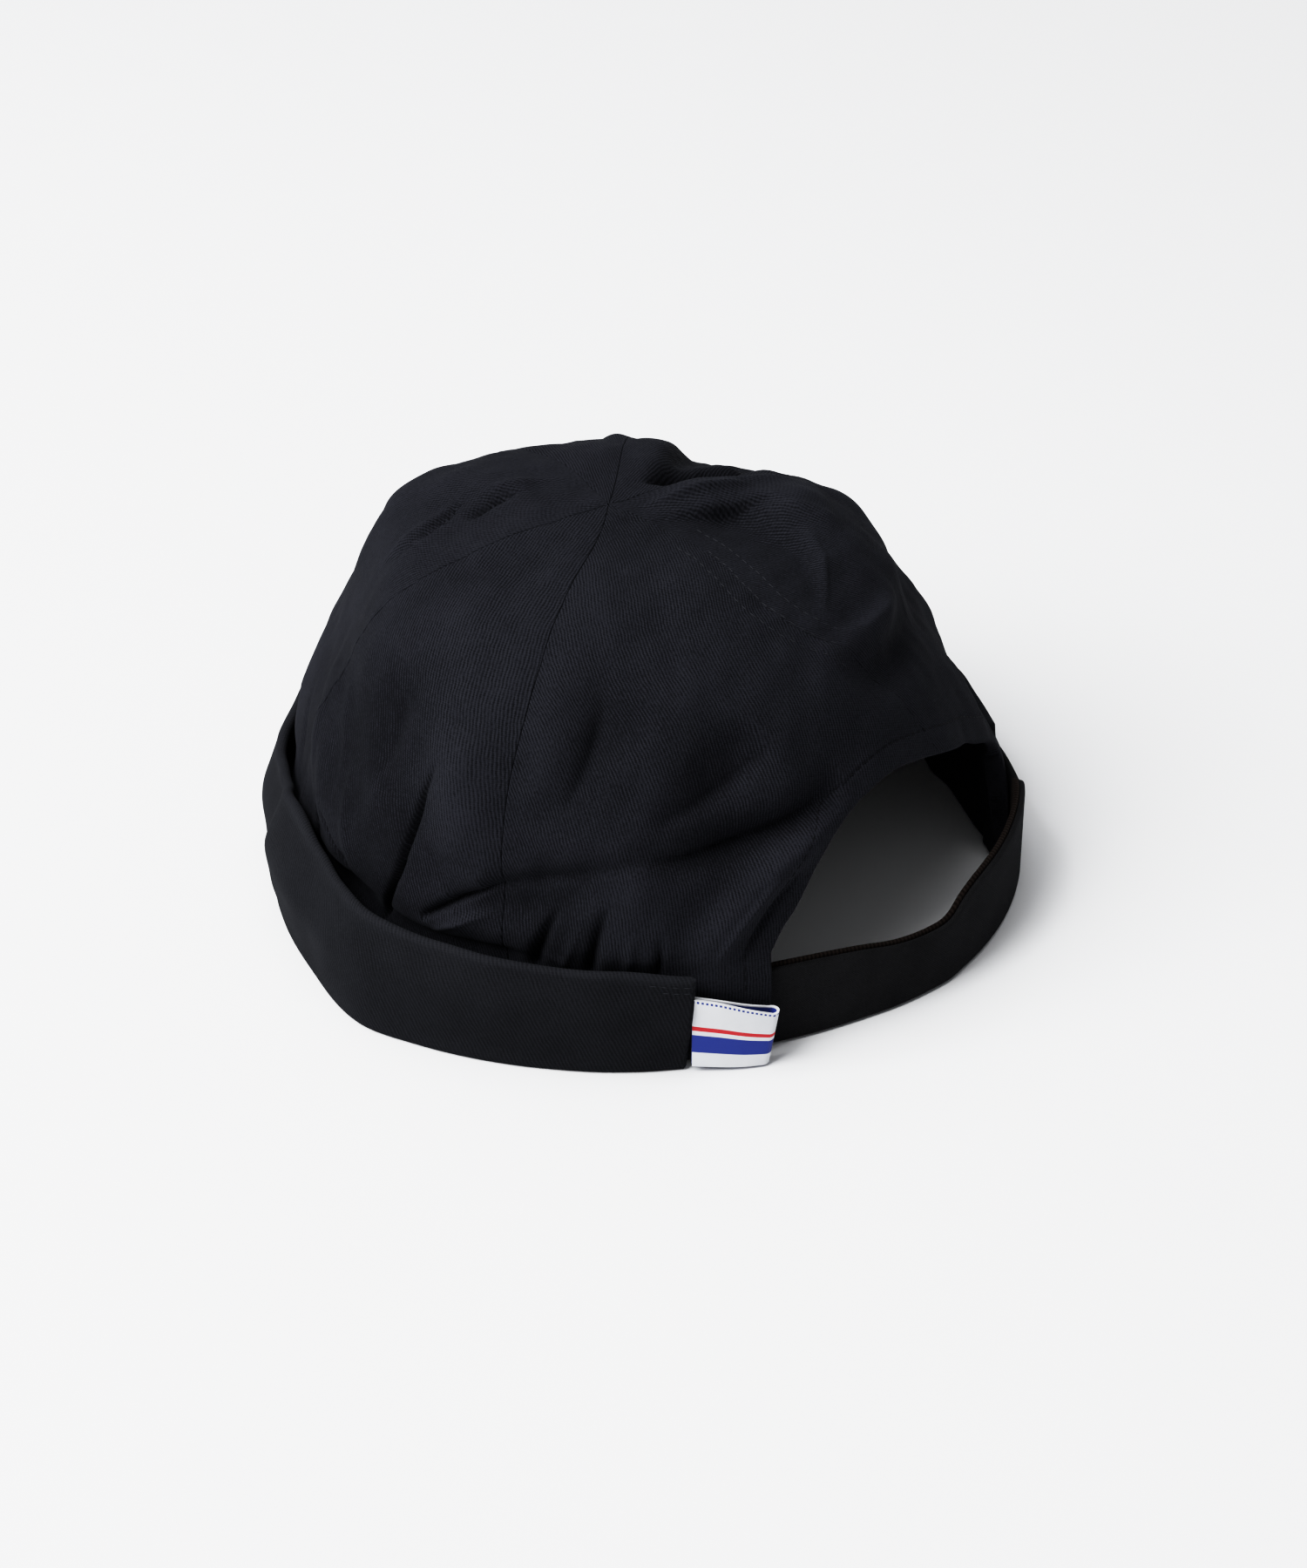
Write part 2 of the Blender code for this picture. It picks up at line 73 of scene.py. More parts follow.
CUFF_OVERLAP_LINE = 0.0005
FOOT_BULGE = 0.0024       # how far the gathered foot beside the opening stands out
FOOT_DEPTH = 0.0054       # how far its bunched cloth goes in
FOOT_SLIDE = 9.0          # and how many degrees it is pushed along the hem
FOOT_TOP, FOOT_PUSH_TOP, FOOT_BULGE_TOP = 0.24, 0.2, 0.26       # rises where these end

# Degrees at which these begin, take to rise, end and take to fall
FOOT_BUNCHED = (114.0, 19.0, 170.0, 24.0)
FOOT_PUSHED = (104.0, 16.0, 160.0, 28.0)
FOOT_BULGED = (118.0, 8.0, 146.0, 12.0)
CUFF_OVERLAP = (40.5, 2.0, 56.0, 12.0)      # counted the other way round the cap

RIM_HIGHLIGHT_WIDTH = 0.0013        # width of the painted highlight along the cuff's rim
# Strength of the painted highlight along the cuff's rim, and the level of the rest of the cuff
RIM_HIGHLIGHT, CUFF_TONE_OFFSET = 3.5, -0.8
STRAP_HEIGHT = 0.024
STRAP_WALL = 0.0014
STRAP_LIP = 0.0006
STRAP_LAYER_GAP = 0.0001
INNER_STRAP = (51.5, 123.0)
LABEL_HEIGHT = 0.0185
LABEL_WALL = 0.0006
LABEL_LOOP = 0.0012
LABEL_SHEAR = 0.0024      # how far the loop's tip leans over at its foot
NAVY_STRIPE = (0.0040, 0.0088)      # heights of the label's stripes
RED_STRIPE = (0.0100, 0.0112)
EDGE_STITCHES = (0.0176, 0.0182)
LINING_TOP = 0.0181

CROWN_SECTIONS = (
    # rise, height, left, back left, back, back right, right, front right, front, front left
    (0.00, 0.000, 1.01, 1.01, 1.01, 1.00, 0.99, 1.00, 1.00, 0.99),
    (0.16, 0.220, 1.01, 1.01, 1.00, 1.00, 0.99, 1.00, 1.00, 0.99),
    (0.34, 0.460, 0.99, 0.96, 0.94, 0.92, 0.93, 0.95, 0.95, 0.92),
    (0.50, 0.670, 0.91, 0.89, 0.85, 0.77, 0.80, 0.84, 0.83, 0.79),
    (0.64, 0.830, 0.80, 0.77, 0.74, 0.71, 0.68, 0.68, 0.71, 0.69),
    (0.78, 0.940, 0.58, 0.56, 0.57, 0.58, 0.50, 0.47, 0.54, 0.56),
    (0.90, 0.985, 0.28, 0.27, 0.29, 0.31, 0.26, 0.24, 0.28, 0.29),
    (1.00, 1.000, 0.00, 0.00, 0.00, 0.00, 0.00, 0.00, 0.00, 0.00),
)

SEAM_RISES = (0.0, 0.30, 0.50, 0.62, 0.72, 0.80, 0.90, 1.0)
SEAMS = {
    # name: angles at the rises above
    "left": (13.5, 14.2, 15.4, 17.5, 18.9, 19.6, 22.4, 30.0),
    "back": (101.0, 99.0, 95.0, 89.0, 81.0, 79.6, 88.0, 98.0),
    "back_right": (150.0, 152.0, 154.0, 155.0, 156.0, 157.0, 160.0, 164.0),
    "front_right": (208.0, 208.0, 208.5, 209.5, 210.5, 210.8, 209.4, 206.0),
    "front": (268.0, 262.0, 256.0, 252.0, 248.0, 245.0, 242.0, 240.0),
    "front_left": (320.0, 323.0, 327.0, 330.0, 333.0, 335.0, 336.0, 330.0),
}

PANELS = (
    # name, first seam, last seam, columns, rows, degrees that its cloth's grain is turned
    ("back_left", "left", "back", 190, 180, -3),
    ("back_right", "back", "back_right", 120, 220, 5),
    ("right", "back_right", "front_right", 110, 160, 12),
    ("front_right", "front_right", "front", 80, 100, 0),
    ("front_left", "front", "front_left", 110, 170, 15),
    ("left", "front_left", "left", 180, 240, 22),
)
SEAM_COLUMNS = (0.00012, 0.0003, 0.0006, 0.0010)    # added columns beside a seam, metres
FOOT_COLUMNS = (                                    # and at the opening's feet, degrees
    -0.5, -0.25, -0.1, 0.0, 0.15, 0.3, 0.5, 0.7, 0.85, 1.0, 1.2, 1.45, 1.75, 2.1, 2.5,
)
COLUMN_MINIMUM = 0.00006
HEM_ROWS_REACH = 0.05     # rises above the hem's edge over which the rows crowd together

ARCH = (
    # angle, rise
    (54.2, 0.000), (54.9, 0.180), (55.8, 0.212), (57.8, 0.245), (59.9, 0.268),
    (62.5, 0.301), (65.8, 0.344), (70.2, 0.386), (75.6, 0.410), (80.8, 0.422),
    (86.5, 0.421), (95.0, 0.396), (105.2, 0.353), (112.0, 0.322), (117.4, 0.283),
    (123.0, 0.243), (127.0, 0.198), (129.0, 0.150), (129.5, 0.000),
)

# Broad folds: a path that bows by a share of its length, widths to its two sides and
# depth in shares of HEAD_RADIUS, and where along the path it is strongest. The angles
# are in degrees, all other numbers in thousandths.
FOLDS = (
    # angle, rise, end angle, end rise, bow, width, other width, depth, peak
    (-9, 200, 2, 520, 0, 50, 50, -9, 300),
    (-18, 250, -40, 560, 100, 80, 90, 25, 450),
    (6, 265, 37, 410, -60, 80, 55, -26, 300),
    (3, 215, 16, 285, 0, 34, 36, 12, 500),
    (22, 200, 26, 330, 0, 60, 60, -15, 350),
    (41, 220, 34, 440, 50, 70, 70, 16, 500),
    (34, 740, 21, 440, 80, 110, 70, -34, 550),
    (60, 600, 38, 450, 50, 80, 90, -34, 450),
    (74, 455, 34, 385, 30, 50, 60, -50, 450),
    (43, 190, 72, 435, 90, 50, 60, 42, 500),
    (-8, 660, -10, 420, 0, 70, 80, -20, 500),
    (7, 600, 5, 360, 0, 80, 80, 30, 500),
    (-36, 860, -70, 910, 0, 55, 55, -8, 450),
    (-70, 700, -94, 770, 0, 70, 70, 16, 500),
    (-113, 690, -132, 730, 0, 50, 50, -13, 500),
    (-141, 740, -151, 740, 0, 50, 50, 14, 500),
    (-84, 920, -46, 600, -100, 80, 90, 20, 500),
    (182, 930, 166, 710, 0, 44, 56, -60, 580),
    (130, 895, 70, 710, 40, 36, 120, -40, 280),
    (186, 660, 166, 670, 0, 50, 50, -30, 500),
    (198, 570, 186, 930, 0, 170, 46, -66, 500),
    (184, 700, 160, 730, 0, 55, 55, -34, 500),
    (158, 520, 150, 720, 0, 80, 80, 28, 500),
    (144, 970, 158, 790, 0, 40, 34, 26, 500),
    (140, 940, 134, 760, 0, 70, 70, 18, 550),
    (118, 940, 120, 780, 0, 80, 80, -12, 500),
    (150, 360, 143, 680, 0, 130, 130, 33, 350),
    (122, 540, 84, 575, 0, 60, 90, -34, 500),
    (118, 620, 82, 660, 50, 55, 50, 22, 550),
    (86, 660, 70, 500, -50, 75, 60, 11, 400),
    (124, 680, 134, 500, 0, 80, 80, 16, 500),
    (148, 190, 144, 370, 0, 70, 70, -18, 500),
    (166, 240, 172, 500, 50, 80, 80, -40, 300),
    (186, 270, 190, 480, 50, 90, 90, 30, 450),
    (201, 240, 206, 440, 0, 80, 80, -35, 350),
    (226, 240, 252, 460, 100, 80, 80, -40, 350),
    (238, 270, 262, 380, 80, 80, 80, 25, 500),
    (276, 240, 270, 500, 50, 80, 80, -40, 300),
    (292, 300, 296, 460, 0, 80, 80, 8, 500),
    (306, 240, 300, 460, 50, 80, 80, 6, 350),
)

# Creases, lips and gathers that ride on the broad folds, with sharp middles
CREASES = (
    # angle, rise, end angle, end rise, bow, width, other width, depth, peak
    (-11, 130, -3.2, 330, 0, 12, 14, -34, 450),
    (-5, 270, 2.6, 540, 0, 11, 13, -28, 320),
    (-15, 220, -18, 440, 50, 30, 45, 12, 400),
    (-29, 310, -29, 190, 0, 15, 15, -30, 600),
    (-42, 190, -9, 204, 0, 22, 90, -36, 500),
    (-26, 300, -16, 205, 20, 16, 16, -20, 550),
    (-10, 190, 18, 200, 0, 18, 90, -28, 500),
    (-34, 480, -28, 270, 20, 34, 30, -6, 500),
    (-30, 540, -19, 340, 40, 34, 34, 6, 500),
    (-45, 240, -50, 420, 20, 30, 34, -8, 400),
    (-54, 240, -58, 400, 20, 30, 34, 7, 400),
    (0.5, 224, 14.5, 338, 20, 22, 9, -40, 380),
    (11, 320, 37, 392, 40, 42, 30, -24, 400),
    (2, 205, 13, 278, 30, 18, 20, 14, 450),
    (18.5, 170, 23.5, 310, 40, 21, 21, -36, 300),
    (27.3, 170, 30.8, 320, 30, 20, 20, -36, 300),
    (37.5, 170, 38.3, 270, 0, 14, 14, -24, 300),
    (23, 180, 26, 270, 0, 20, 20, 12, 400),
    (33, 180, 34, 270, 0, 22, 22, 12, 400),
    (73, 445, 36, 390, 30, 30, 26, -26, 500),
    (62, 555, 38, 455, 30, 30, 40, -18, 450),
    (46, 200, 58, 345, 50, 18, 22, 20, 500),
    (50, 190, 62, 345, 60, 16, 16, -16, 450),
    (33, 680, 24, 480, 40, 50, 30, -16, 500),
    (-8, 600, -10.5, 440, 20, 30, 40, -9, 500),
    (-43, 700, -66, 865, -200, 22, 18, 10, 500),
    (-40, 730, -61, 858, -200, 12, 12, -16, 600),
    (-62, 868, -94, 930, 20, 26, 14, 12, 450),
    (-50, 862, -70, 912, 20, 11, 12, -28, 500),
    (182, 935, 171, 790, 20, 24, 24, -50, 500),
    (180, 820, 163, 740, 0, 24, 24, -46, 500),
    (130, 900, 128, 760, 20, 26, 36, 9, 500),
    (114, 880, 108, 770, 20, 28, 36, -8, 500),
    (100, 960, 152, 846, 0, 14, 50, -28, 600),
    (124, 972, 158, 860, 0, 20, 14, 20, 550),
    (121, 812, 88, 712, 0, 14, 36, 13, 550),
    (112, 622, 90, 662, 20, 34, 26, 9, 500),
    (150, 310, 140, 280, 0, 45, 45, -18, 500),
    (166, 200, 170, 400, 40, 28, 36, -35, 200),
    (180, 210, 182, 330, 0, 26, 26, -28, 250),
    (193, 210, 190, 360, 30, 26, 32, 22, 350),
    (203, 200, 206, 400, 30, 28, 34, -34, 200),
    (218, 210, 224, 340, 20, 26, 30, -24, 250),
    (230, 220, 250, 420, 80, 28, 40, -30, 300),
    (248, 210, 252, 330, 20, 26, 26, 18, 350),
    (262, 210, 266, 360, 20, 28, 30, -26, 250),
    (278, 210, 272, 420, 30, 28, 34, -32, 220),
    (290, 220, 288, 340, 20, 26, 26, -20, 300),
    (307, 210, 301, 400, 30, 28, 34, -6, 250),
    (131, 200, 134, 300, 20, 18, 20, -22, 250),
    (139, 200, 142, 320, 20, 18, 20, -24, 250),
    (145, 200, 147, 300, 0, 18, 18, 14, 350),
)
CREASE_SHARPNESS = 6.0
FOLD_REACH = 1.6
FOLD_RISES = (0.08, 0.22)       # where the folds begin and where they have full depth

# Small waves of the crown's cloth: height, added height low down, size, seed, stretch
WAVES = (
    (0.0003, 0.0003, 0.030, 5, (1.0, 1.0, 1.6)),
    (0.00012, 0.0, 0.011, 6, (1.0, 1.0, 1.4)),
)

CUFF_SECTIONS = (
    # angle, foot, middle, top, height
    (42, 0.000, 0.008, 0.010, 0.82),
    (31, 0.011, 0.023, 0.021, 0.905),
    (20, 0.026, 0.042, 0.034, 0.945),
    (2, 0.068, 0.080, 0.058, 0.985),
    (-7, 0.092, 0.089, 0.064, 0.985),
    (-20, 0.058, 0.066, 0.018, 1.00),
    (-29, 0.046, 0.058, 0.004, 1.03),
    (-38, 0.036, 0.050, 0.010, 1.04),
    (-52, 0.018, 0.040, 0.016, 0.95),
    (-68, 0.016, 0.030, 0.010, 0.95),
    (-90, 0.016, 0.029, 0.024, 0.98),
    (-120, 0.020, 0.035, 0.028, 1.00),
    (-150, 0.016, 0.028, 0.022, 0.97),
    (-180, 0.012, 0.022, 0.014, 0.92),
    (-205, 0.006, 0.015, 0.008, 0.86),
    (-223, 0.000, 0.010, 0.004, 0.78),
)
CUFF_LEVELS = (0.1, 0.33, 0.6, 0.95)    # shares of its height where the cuff is shaped
CUFF_STEPS = 520
CUFF_CLIMB = 20

STRAP_SECTIONS = (
    # angle, side, bow, height
    (51.0, 0.0, -0.006, 0.96),
    (56.0, 0.0, -0.002, 0.965),
    (63.0, 0.1, 0.002, 0.945),
    (70.0, 0.35, 0.006, 0.89),
    (77.0, 0.6, 0.018, 0.80),
    (83.0, 0.75, 0.030, 0.765),
    (87.0, 0.85, 0.038, 0.79),
    (91.0, 0.95, 0.036, 0.93),
    (95.0, 1.0, 0.038, 1.01),
    (104.0, 1.0, 0.044, 1.04),
    (116.0, 1.0, 0.048, 1.04),
    (121.5, 1.0, 0.046, 1.00),
    (126.0, 1.0, 0.038, 0.84),
    (136.8, 1.0, 0.022, 0.78),
)

LABEL_SECTIONS = (
    # angle, stand, foot, top, opening of the loop
    (42.0, 0.010, 0.10, 1.19, 0.0003),
    (46.0, 0.018, 0.07, 1.10, 0.0006),
    (50.0, 0.025, 0.05, 0.96, 0.0016),
    (53.6, 0.030, 0.04, 0.84, 0.0026),
)
LABEL_LEVELS = 13
STITCH_WANDER = 0.06      # how far a stitch turns off its row, as a share of its length

# Painted shade: the middle of a darkened patch low on the crown, and the distances from it
# within which the painted shade is full and beyond which it is gone
SHADE_PATCH_PLACE, SHADE_PATCH_REACH = (0.084, -0.038, 0.052), (0.022, 0.054)

# Light against shown brightness: a bright, softly clipped studio exposure
TONE = ((0.02, 0.018), (0.06, 0.075), (0.15, 0.27), (0.30, 0.56), (0.50, 0.77), (0.75, 0.87))
TONE_TOP = 0.912

# Camera: turn and tilt in degrees, distance, focal length in pixels of the 1500 x 1800
# frame, and the pixel where the crown's axis meets the floor
FRAME = (1500, 1800)
CAMERA_TURN, CAMERA_TILT = 125.0, 34.0
CAMERA_DISTANCE, CAMERA_FOCUS = 0.975, 4235.0
CAMERA_AIM = (739, 969)


def smooth_step(value):
    """0 below 0, 1 above 1, with a soft change between."""
    t = np.clip(value, 0.0, 1.0)
    return t * t * (3.0 - 2.0 * t)


def bell(value, middle, spread):
    """1 in the middle, falling off to both sides."""
    return np.exp(-(((value - middle) / spread) ** 2))


def unit(vectors):
    """Vectors made one long."""
    return vectors / np.linalg.norm(vectors, axis=-1, keepdims=True)


def way_along(line):
    """How far along a flat line each of its points is."""
    return np.concatenate([[0.0], np.cumsum(np.hypot(*np.diff(line, axis=0).T))])


def around(angle, start):
    """Signed way round the cap from a starting angle, in degrees."""
    return np.mod(angle - start + 180.0, 360.0) - 180.0


def round_curve(values, angle):
    """Smooth closed curve through equally spaced values, read at an angle in degrees."""
    count = len(values)
    place = np.mod(angle, 360.0) * count / 360.0
    index = np.floor(place).astype(int)
    t = place - index
    p0, p1, p2, p3 = (np.take(values, (index + k) % count) for k in (-1, 0, 1, 2))
    bend = 2 * p0 - 5 * p1 + 4 * p2 - p3 + t * (3 * (p1 - p2) + p3 - p0)
    return p1 + 0.5 * t * (p2 - p0 + t * bend)


def smooth_curve(places, columns, place):
    """Smooth curve through rows at uneven places; columns has a row's values first."""
    last = len(places) - 1
    k = np.clip(np.searchsorted(places, place, side="right") - 1, 0, last - 1)

    def value(j):
        return np.take_along_axis(columns, np.clip(j, 0, last)[None, ...], axis=0)[0]

    def slope(j):
        low, high = np.clip(j - 1, 0, last), np.clip(j + 1, 0, last)
        return (value(high) - value(low)) / (places[high] - places[low])

    span = places[k + 1] - places[k]
    t = (np.clip(place, places[0], places[-1]) - places[k]) / span
    rising = t * t * (3.0 - 2.0 * t)
    leaving = (t - 1.0) ** 2 * t * span * slope(k)
    arriving = (t - 1.0) * t * t * span * slope(k + 1)
    return value(k) + rising * (value(k + 1) - value(k)) + leaving + arriving


def curve_through(places, values, place):
    """Smooth curve through single values at uneven places."""
    place = np.atleast_1d(np.asarray(place, dtype=float))
    columns = np.array([np.full(place.shape, value) for value in values])
    return smooth_curve(np.array(places, dtype=float), columns, place)


def row_values(table, angle):
    """All columns of a table at one angle, which is what its first column gives."""
    angles, *columns = zip(*sorted(table))
    return [float(curve_through(angles, column, angle)[0]) for column in columns]


def cuff_height(angle):
    """Height of the cuff at an angle, without its small waves."""
    return row_values(CUFF_SECTIONS, angle)[-1] * CUFF_HEIGHT


def smooth_form(angle, rise):
    """Points of the crown's outside before any fold, at arrays of angles and rises."""
    angle, rise = np.broadcast_arrays(np.asarray(angle, float), np.asarray(rise, float))
    places = np.array([row[0] for row in CROWN_SECTIONS])
    heights = np.array([np.full(angle.shape, row[1]) for row in CROWN_SECTIONS])
    radii = np.array([round_curve(row[2:], angle) for row in CROWN_SECTIONS])
    height = smooth_curve(places, heights, rise)
    radius = smooth_curve(places, radii, rise) * HEAD_RADIUS
    lean = np.clip(height, 0.0, 1.0) ** 2 * HEAD_RADIUS
    turn = np.radians(angle)
    x = radius * np.cos(turn) + (APEX_LEAN[0] * lean + PLAN_CENTRE[0])
    y = radius * np.sin(turn) + (APEX_LEAN[1] * lean + PLAN_CENTRE[1])
    return np.stack([x, y, height * CROWN_HEIGHT], axis=-1)


def form_radius(rise):
    """Mean radius of the crown at a rise."""
    means = [(row[0], sum(row[2:]) / len(row[2:])) for row in CROWN_SECTIONS]
    return np.interp(rise, [m[0] for m in means], [m[1] for m in means]) * HEAD_RADIUS


def form_normal(angle, rise):
    """Outward direction of the smooth form."""
    turn_step, rise_step = 0.5, 0.004
    high = np.minimum(rise + rise_step, 0.995)
    low = np.minimum(rise, 0.99) - rise_step
    along = smooth_form(angle + turn_step, rise) - smooth_form(angle - turn_step, rise)
    up = smooth_form(angle, high) - smooth_form(angle, low)
    return unit(np.cross(along, up))


def fold_height(angle, rise, fold, sharpness=0.0):
    """How far one fold lifts the cloth off the smooth form."""
    start_angle, end_angle = fold[0], fold[2]
    start_rise, end_rise, bow, width, other, depth, peak = (
        cell / 1000 for cell in (fold[1], *fold[3:])
    )
    degree = radians(1.0)
    x = around(angle, start_angle) * degree * form_radius(rise)
    y = (rise - start_rise) * MERIDIAN
    end_x = (end_angle - start_angle) * degree * form_radius(0.5 * (start_rise + end_rise))
    end_y = (end_rise - start_rise) * MERIDIAN
    length = hypot(end_x, end_y)
    along = (x * end_x + y * end_y) / length
    across = (y * end_x - x * end_y) / length
    t = np.clip(along / length, 0.0, 1.0)
    across = across - bow * length * 4.0 * t * (1.0 - t)
    beyond = along - t * length
    side = np.where(across > 0.0, width, other) * HEAD_RADIUS
    distance = (across / side) ** 2 + (beyond / (min(width, other) * HEAD_RADIUS)) ** 2
    strength = (t / peak) ** (FOLD_REACH * peak)
    strength = strength * ((1.0 - t) / (1.0 - peak)) ** (FOLD_REACH * (1.0 - peak))
    if sharpness:
        distance = np.sqrt(1.0 + sharpness * distance) - 1.0
    return depth * HEAD_RADIUS * strength * np.exp(-distance)


def seam_angle(name, rise):
    """Angle of a seam at a rise."""
    return curve_through(SEAM_RISES, SEAMS[name], rise)


def seam_distance(name, angle, rise):
    """Distance over the cloth from a seam, above zero on its back side."""
    return np.radians(around(angle, seam_angle(name, rise))) * form_radius(rise)


def arch_line():
    """Dense smooth line of the opening's edge, as angles and rises."""
    rows = np.array(ARCH)
    places = np.arange(len(rows), dtype=float)
    place = np.linspace(1.0, len(rows) - 2.0, 40 * (len(rows) - 3) + 1)
    middle = np.stack([curve_through(places, rows[:, k], place) for k in (0, 1)], axis=1)
    middle[:, 0] = np.maximum.accumulate(middle[:, 0])
    first = rows[0] + (rows[1] - rows[0]) * np.linspace(0.0, 0.95, 20)[:, None]
    last = rows[-2] + (rows[-1] - rows[-2]) * np.linspace(0.05, 1.0, 20)[:, None]
    return np.vstack([first, middle, last])


ARCH_LINE = arch_line()


def opening_rise(angle):
    """Lowest rise that has cloth at an angle: the hem, or the edge of the opening."""
    return np.interp(angle, ARCH_LINE[:, 0], ARCH_LINE[:, 1], left=0.0, right=0.0)


def edge_distance(angle, rise):
    """Distance over the cloth from the opening's edge."""
    flat_angle, flat_rise = np.ravel(angle), np.ravel(rise)
    nearest = np.full(flat_angle.shape, 1.0)
    scale = np.radians(1.0) * form_radius(flat_rise)
    line = ARCH_LINE[::3]
    for (angle_a, rise_a), (angle_b, rise_b) in zip(line[:-1], line[1:]):
        x, y = (flat_angle - angle_a) * scale, (flat_rise - rise_a) * MERIDIAN
        along_x, along_y = (angle_b - angle_a) * scale, (rise_b - rise_a) * MERIDIAN
        t = np.clip((x * along_x + y * along_y) / (along_x ** 2 + along_y ** 2), 0.0, 1.0)
        nearest = np.minimum(nearest, np.hypot(x - t * along_x, y - t * along_y))
    return nearest.reshape(np.shape(angle))


def ripple(points, size, seed, stretch=(1.0, 1.0, 1.0), waves=14):
    """Soft random waves through space, about one high, of a size in metres."""
    rng = np.random.default_rng(seed)
    total = np.zeros(points.shape[:-1])
    for _ in range(waves):
        way = rng.normal(size=3)
        way = way / np.linalg.norm(way) * rng.uniform(0.7, 1.4) * 2.0 * pi / size
        phase = rng.uniform(0.0, 2.0 * pi)
        total = total + np.cos(points @ (way / np.array(stretch)) + phase)
    return total / sqrt(waves / 2.0)


def window(angle, first, first_width, last, last_width):
    """1 between two angles, rising and falling softly over the given widths."""
    rising = smooth_step((angle - first) / first_width)
    return rising * smooth_step((last - angle) / last_width)


def foot_bulk(angle, rise):
    """How bunched the crown's foot is beside the opening, from 0 to 1."""
    return window(angle, *FOOT_BUNCHED) * smooth_step((FOOT_TOP - rise) / 0.12)


def placed(angle, rise):
    """Where a point of the crown goes round the cap, the foot by the opening pushed along."""
    slide = window(angle, *FOOT_PUSHED) * smooth_step((FOOT_PUSH_TOP - rise) / 0.2)
    return angle - FOOT_SLIDE * slide


def relief(angle, rise):
    """All folds, creases and small waves of the crown's cloth together, and how far
    each point is from the opening's edge."""
    total = np.zeros(np.broadcast(angle, rise).shape)
    for table, sharpness in ((FOLDS, 0.0), (CREASES, CREASE_SHARPNESS)):
        for fold in table:
            total += fold_height(angle, rise, fold, sharpness)
    ramp = smooth_step((rise - FOLD_RISES[0]) / (FOLD_RISES[1] - FOLD_RISES[0]))
    total *= ramp
    form = smooth_form(angle, rise)
    low = smooth_step((0.62 - rise) / 0.4)
    for height, low_height, size, seed, stretch in WAVES:
        total += ramp * (height + low_height * low) * ripple(form, size, seed, stretch)
    reach = smooth_step((0.97 - rise) / 0.12)
    for number, name in enumerate(SEAMS):
        away = seam_distance(name, angle, rise)
        dip = SEAM_DIP * SEAM_DIP_SHARES.get(name, 1.0)
        total -= dip * reach * bell(away, 0.0, SEAM_DIP_WIDTH)
        pucker = ripple(form, 0.008, 20 + number, (1.0, 1.0, 0.8))
        total += PUCKER * ramp * pucker * bell(away, 0.0, PUCKER_WIDTH)
    total += APEX_RAISE * smooth_step((rise - 0.86) / 0.12)
    leg = window(angle, *FOOT_BULGED)
    total += FOOT_BULGE * leg * smooth_step((FOOT_BULGE_TOP - rise) / 0.12)
    away = np.abs(around(angle, CUFF_TUCK_ANGLE))
    behind_cuff = smooth_step((CUFF_TUCK_REACH - away) / CUFF_TUCK_FADE)
    total -= CUFF_TUCK * behind_cuff * bell(rise, CUFF_TUCK_RISE, CUFF_TUCK_SPREAD)
    edge = edge_distance(angle, rise)
    hem = smooth_step((HEM_WIDTH - edge) / 0.0008)
    total += HEM_STEP * hem * smooth_step(rise / 0.1)
    total -= HEM_GROOVE * bell(edge, HEM_WIDTH - HEM_STITCH_INSET, 0.0007)
    return total, edge


def roll(distance, radius):
    """Depth of a rounded edge at a distance from it."""
    t = 1.0 - np.clip(distance / radius, 0.0, 1.0)
    return radius * (1.0 - np.sqrt(1.0 - 0.98 * t * t))


def panel_shares(start, end, count):
    """Shares of a panel's width where it has a column of points."""
    first, last = float(seam_angle(start, 0.0)[0]), float(seam_angle(end, 0.0)[0])
    span = (last - first) % 360.0
    width = radians(span) * HEAD_RADIUS
    shares = {k / count for k in range(count + 1)}
    for away in SEAM_COLUMNS:
        shares.update((away / width, 1.0 - away / width))
    for foot, step in ((ARCH[0][0], 1.0), (ARCH[-1][0], -1.0)):
        beside = ((foot + step * away - first) / span for away in FOOT_COLUMNS)
        shares.update(share for share in beside if 0.0 < share < 1.0)
    kept = []
    for share in sorted(shares):
        if not kept or share - kept[-1] > COLUMN_MINIMUM / width:
            kept.append(share)
    return np.array(kept)


def panel_angle(start, end, share, rise):
    """Angle of a panel's column at a rise, almost touching the next panel."""
    first = seam_angle(start, rise)
    span = (seam_angle(end, rise) - first) % 360.0
    gap = np.degrees(0.5 * SEAM_TOUCH / form_radius(rise))
    return first + gap + share * (span - 2.0 * gap)


def panel_rises(start, end, shares, rows):
    """Rises of every column's points, crowding together above the hem's edge."""
    tip = 1.0 - 0.03 * TIP_RADIUS / float(form_radius(0.9))
    trial = np.linspace(0.0, 0.9, 1801)[None, :]
    clear = trial >= opening_rise(panel_angle(start, end, shares[:, None], trial))
    lowest = np.maximum(trial[0, np.argmax(clear, axis=1)], HEM_LIFT / CROWN_HEIGHT)[:, None]
    edge = lowest + HEM_ROWS_REACH
    even = np.linspace(0.0, tip, rows + 1)[None, :]
    squeezed = lowest + even * HEM_ROWS_REACH / edge
    return np.where(even < edge, squeezed, even)


def link(name, data):
    """Object of a finished mesh, a light or a camera, at the origin."""
    piece = bpy.data.objects.new(name, data)
    bpy.context.scene.collection.objects.link(piece)
    return piece


def face_outwards(mesh):
    """Turn all faces of a closed mesh outwards."""
    shape = bmesh.new()
    shape.from_mesh(mesh)
    bmesh.ops.recalc_face_normals(shape, faces=shape.faces)
    shape.to_mesh(mesh)
    shape.free()


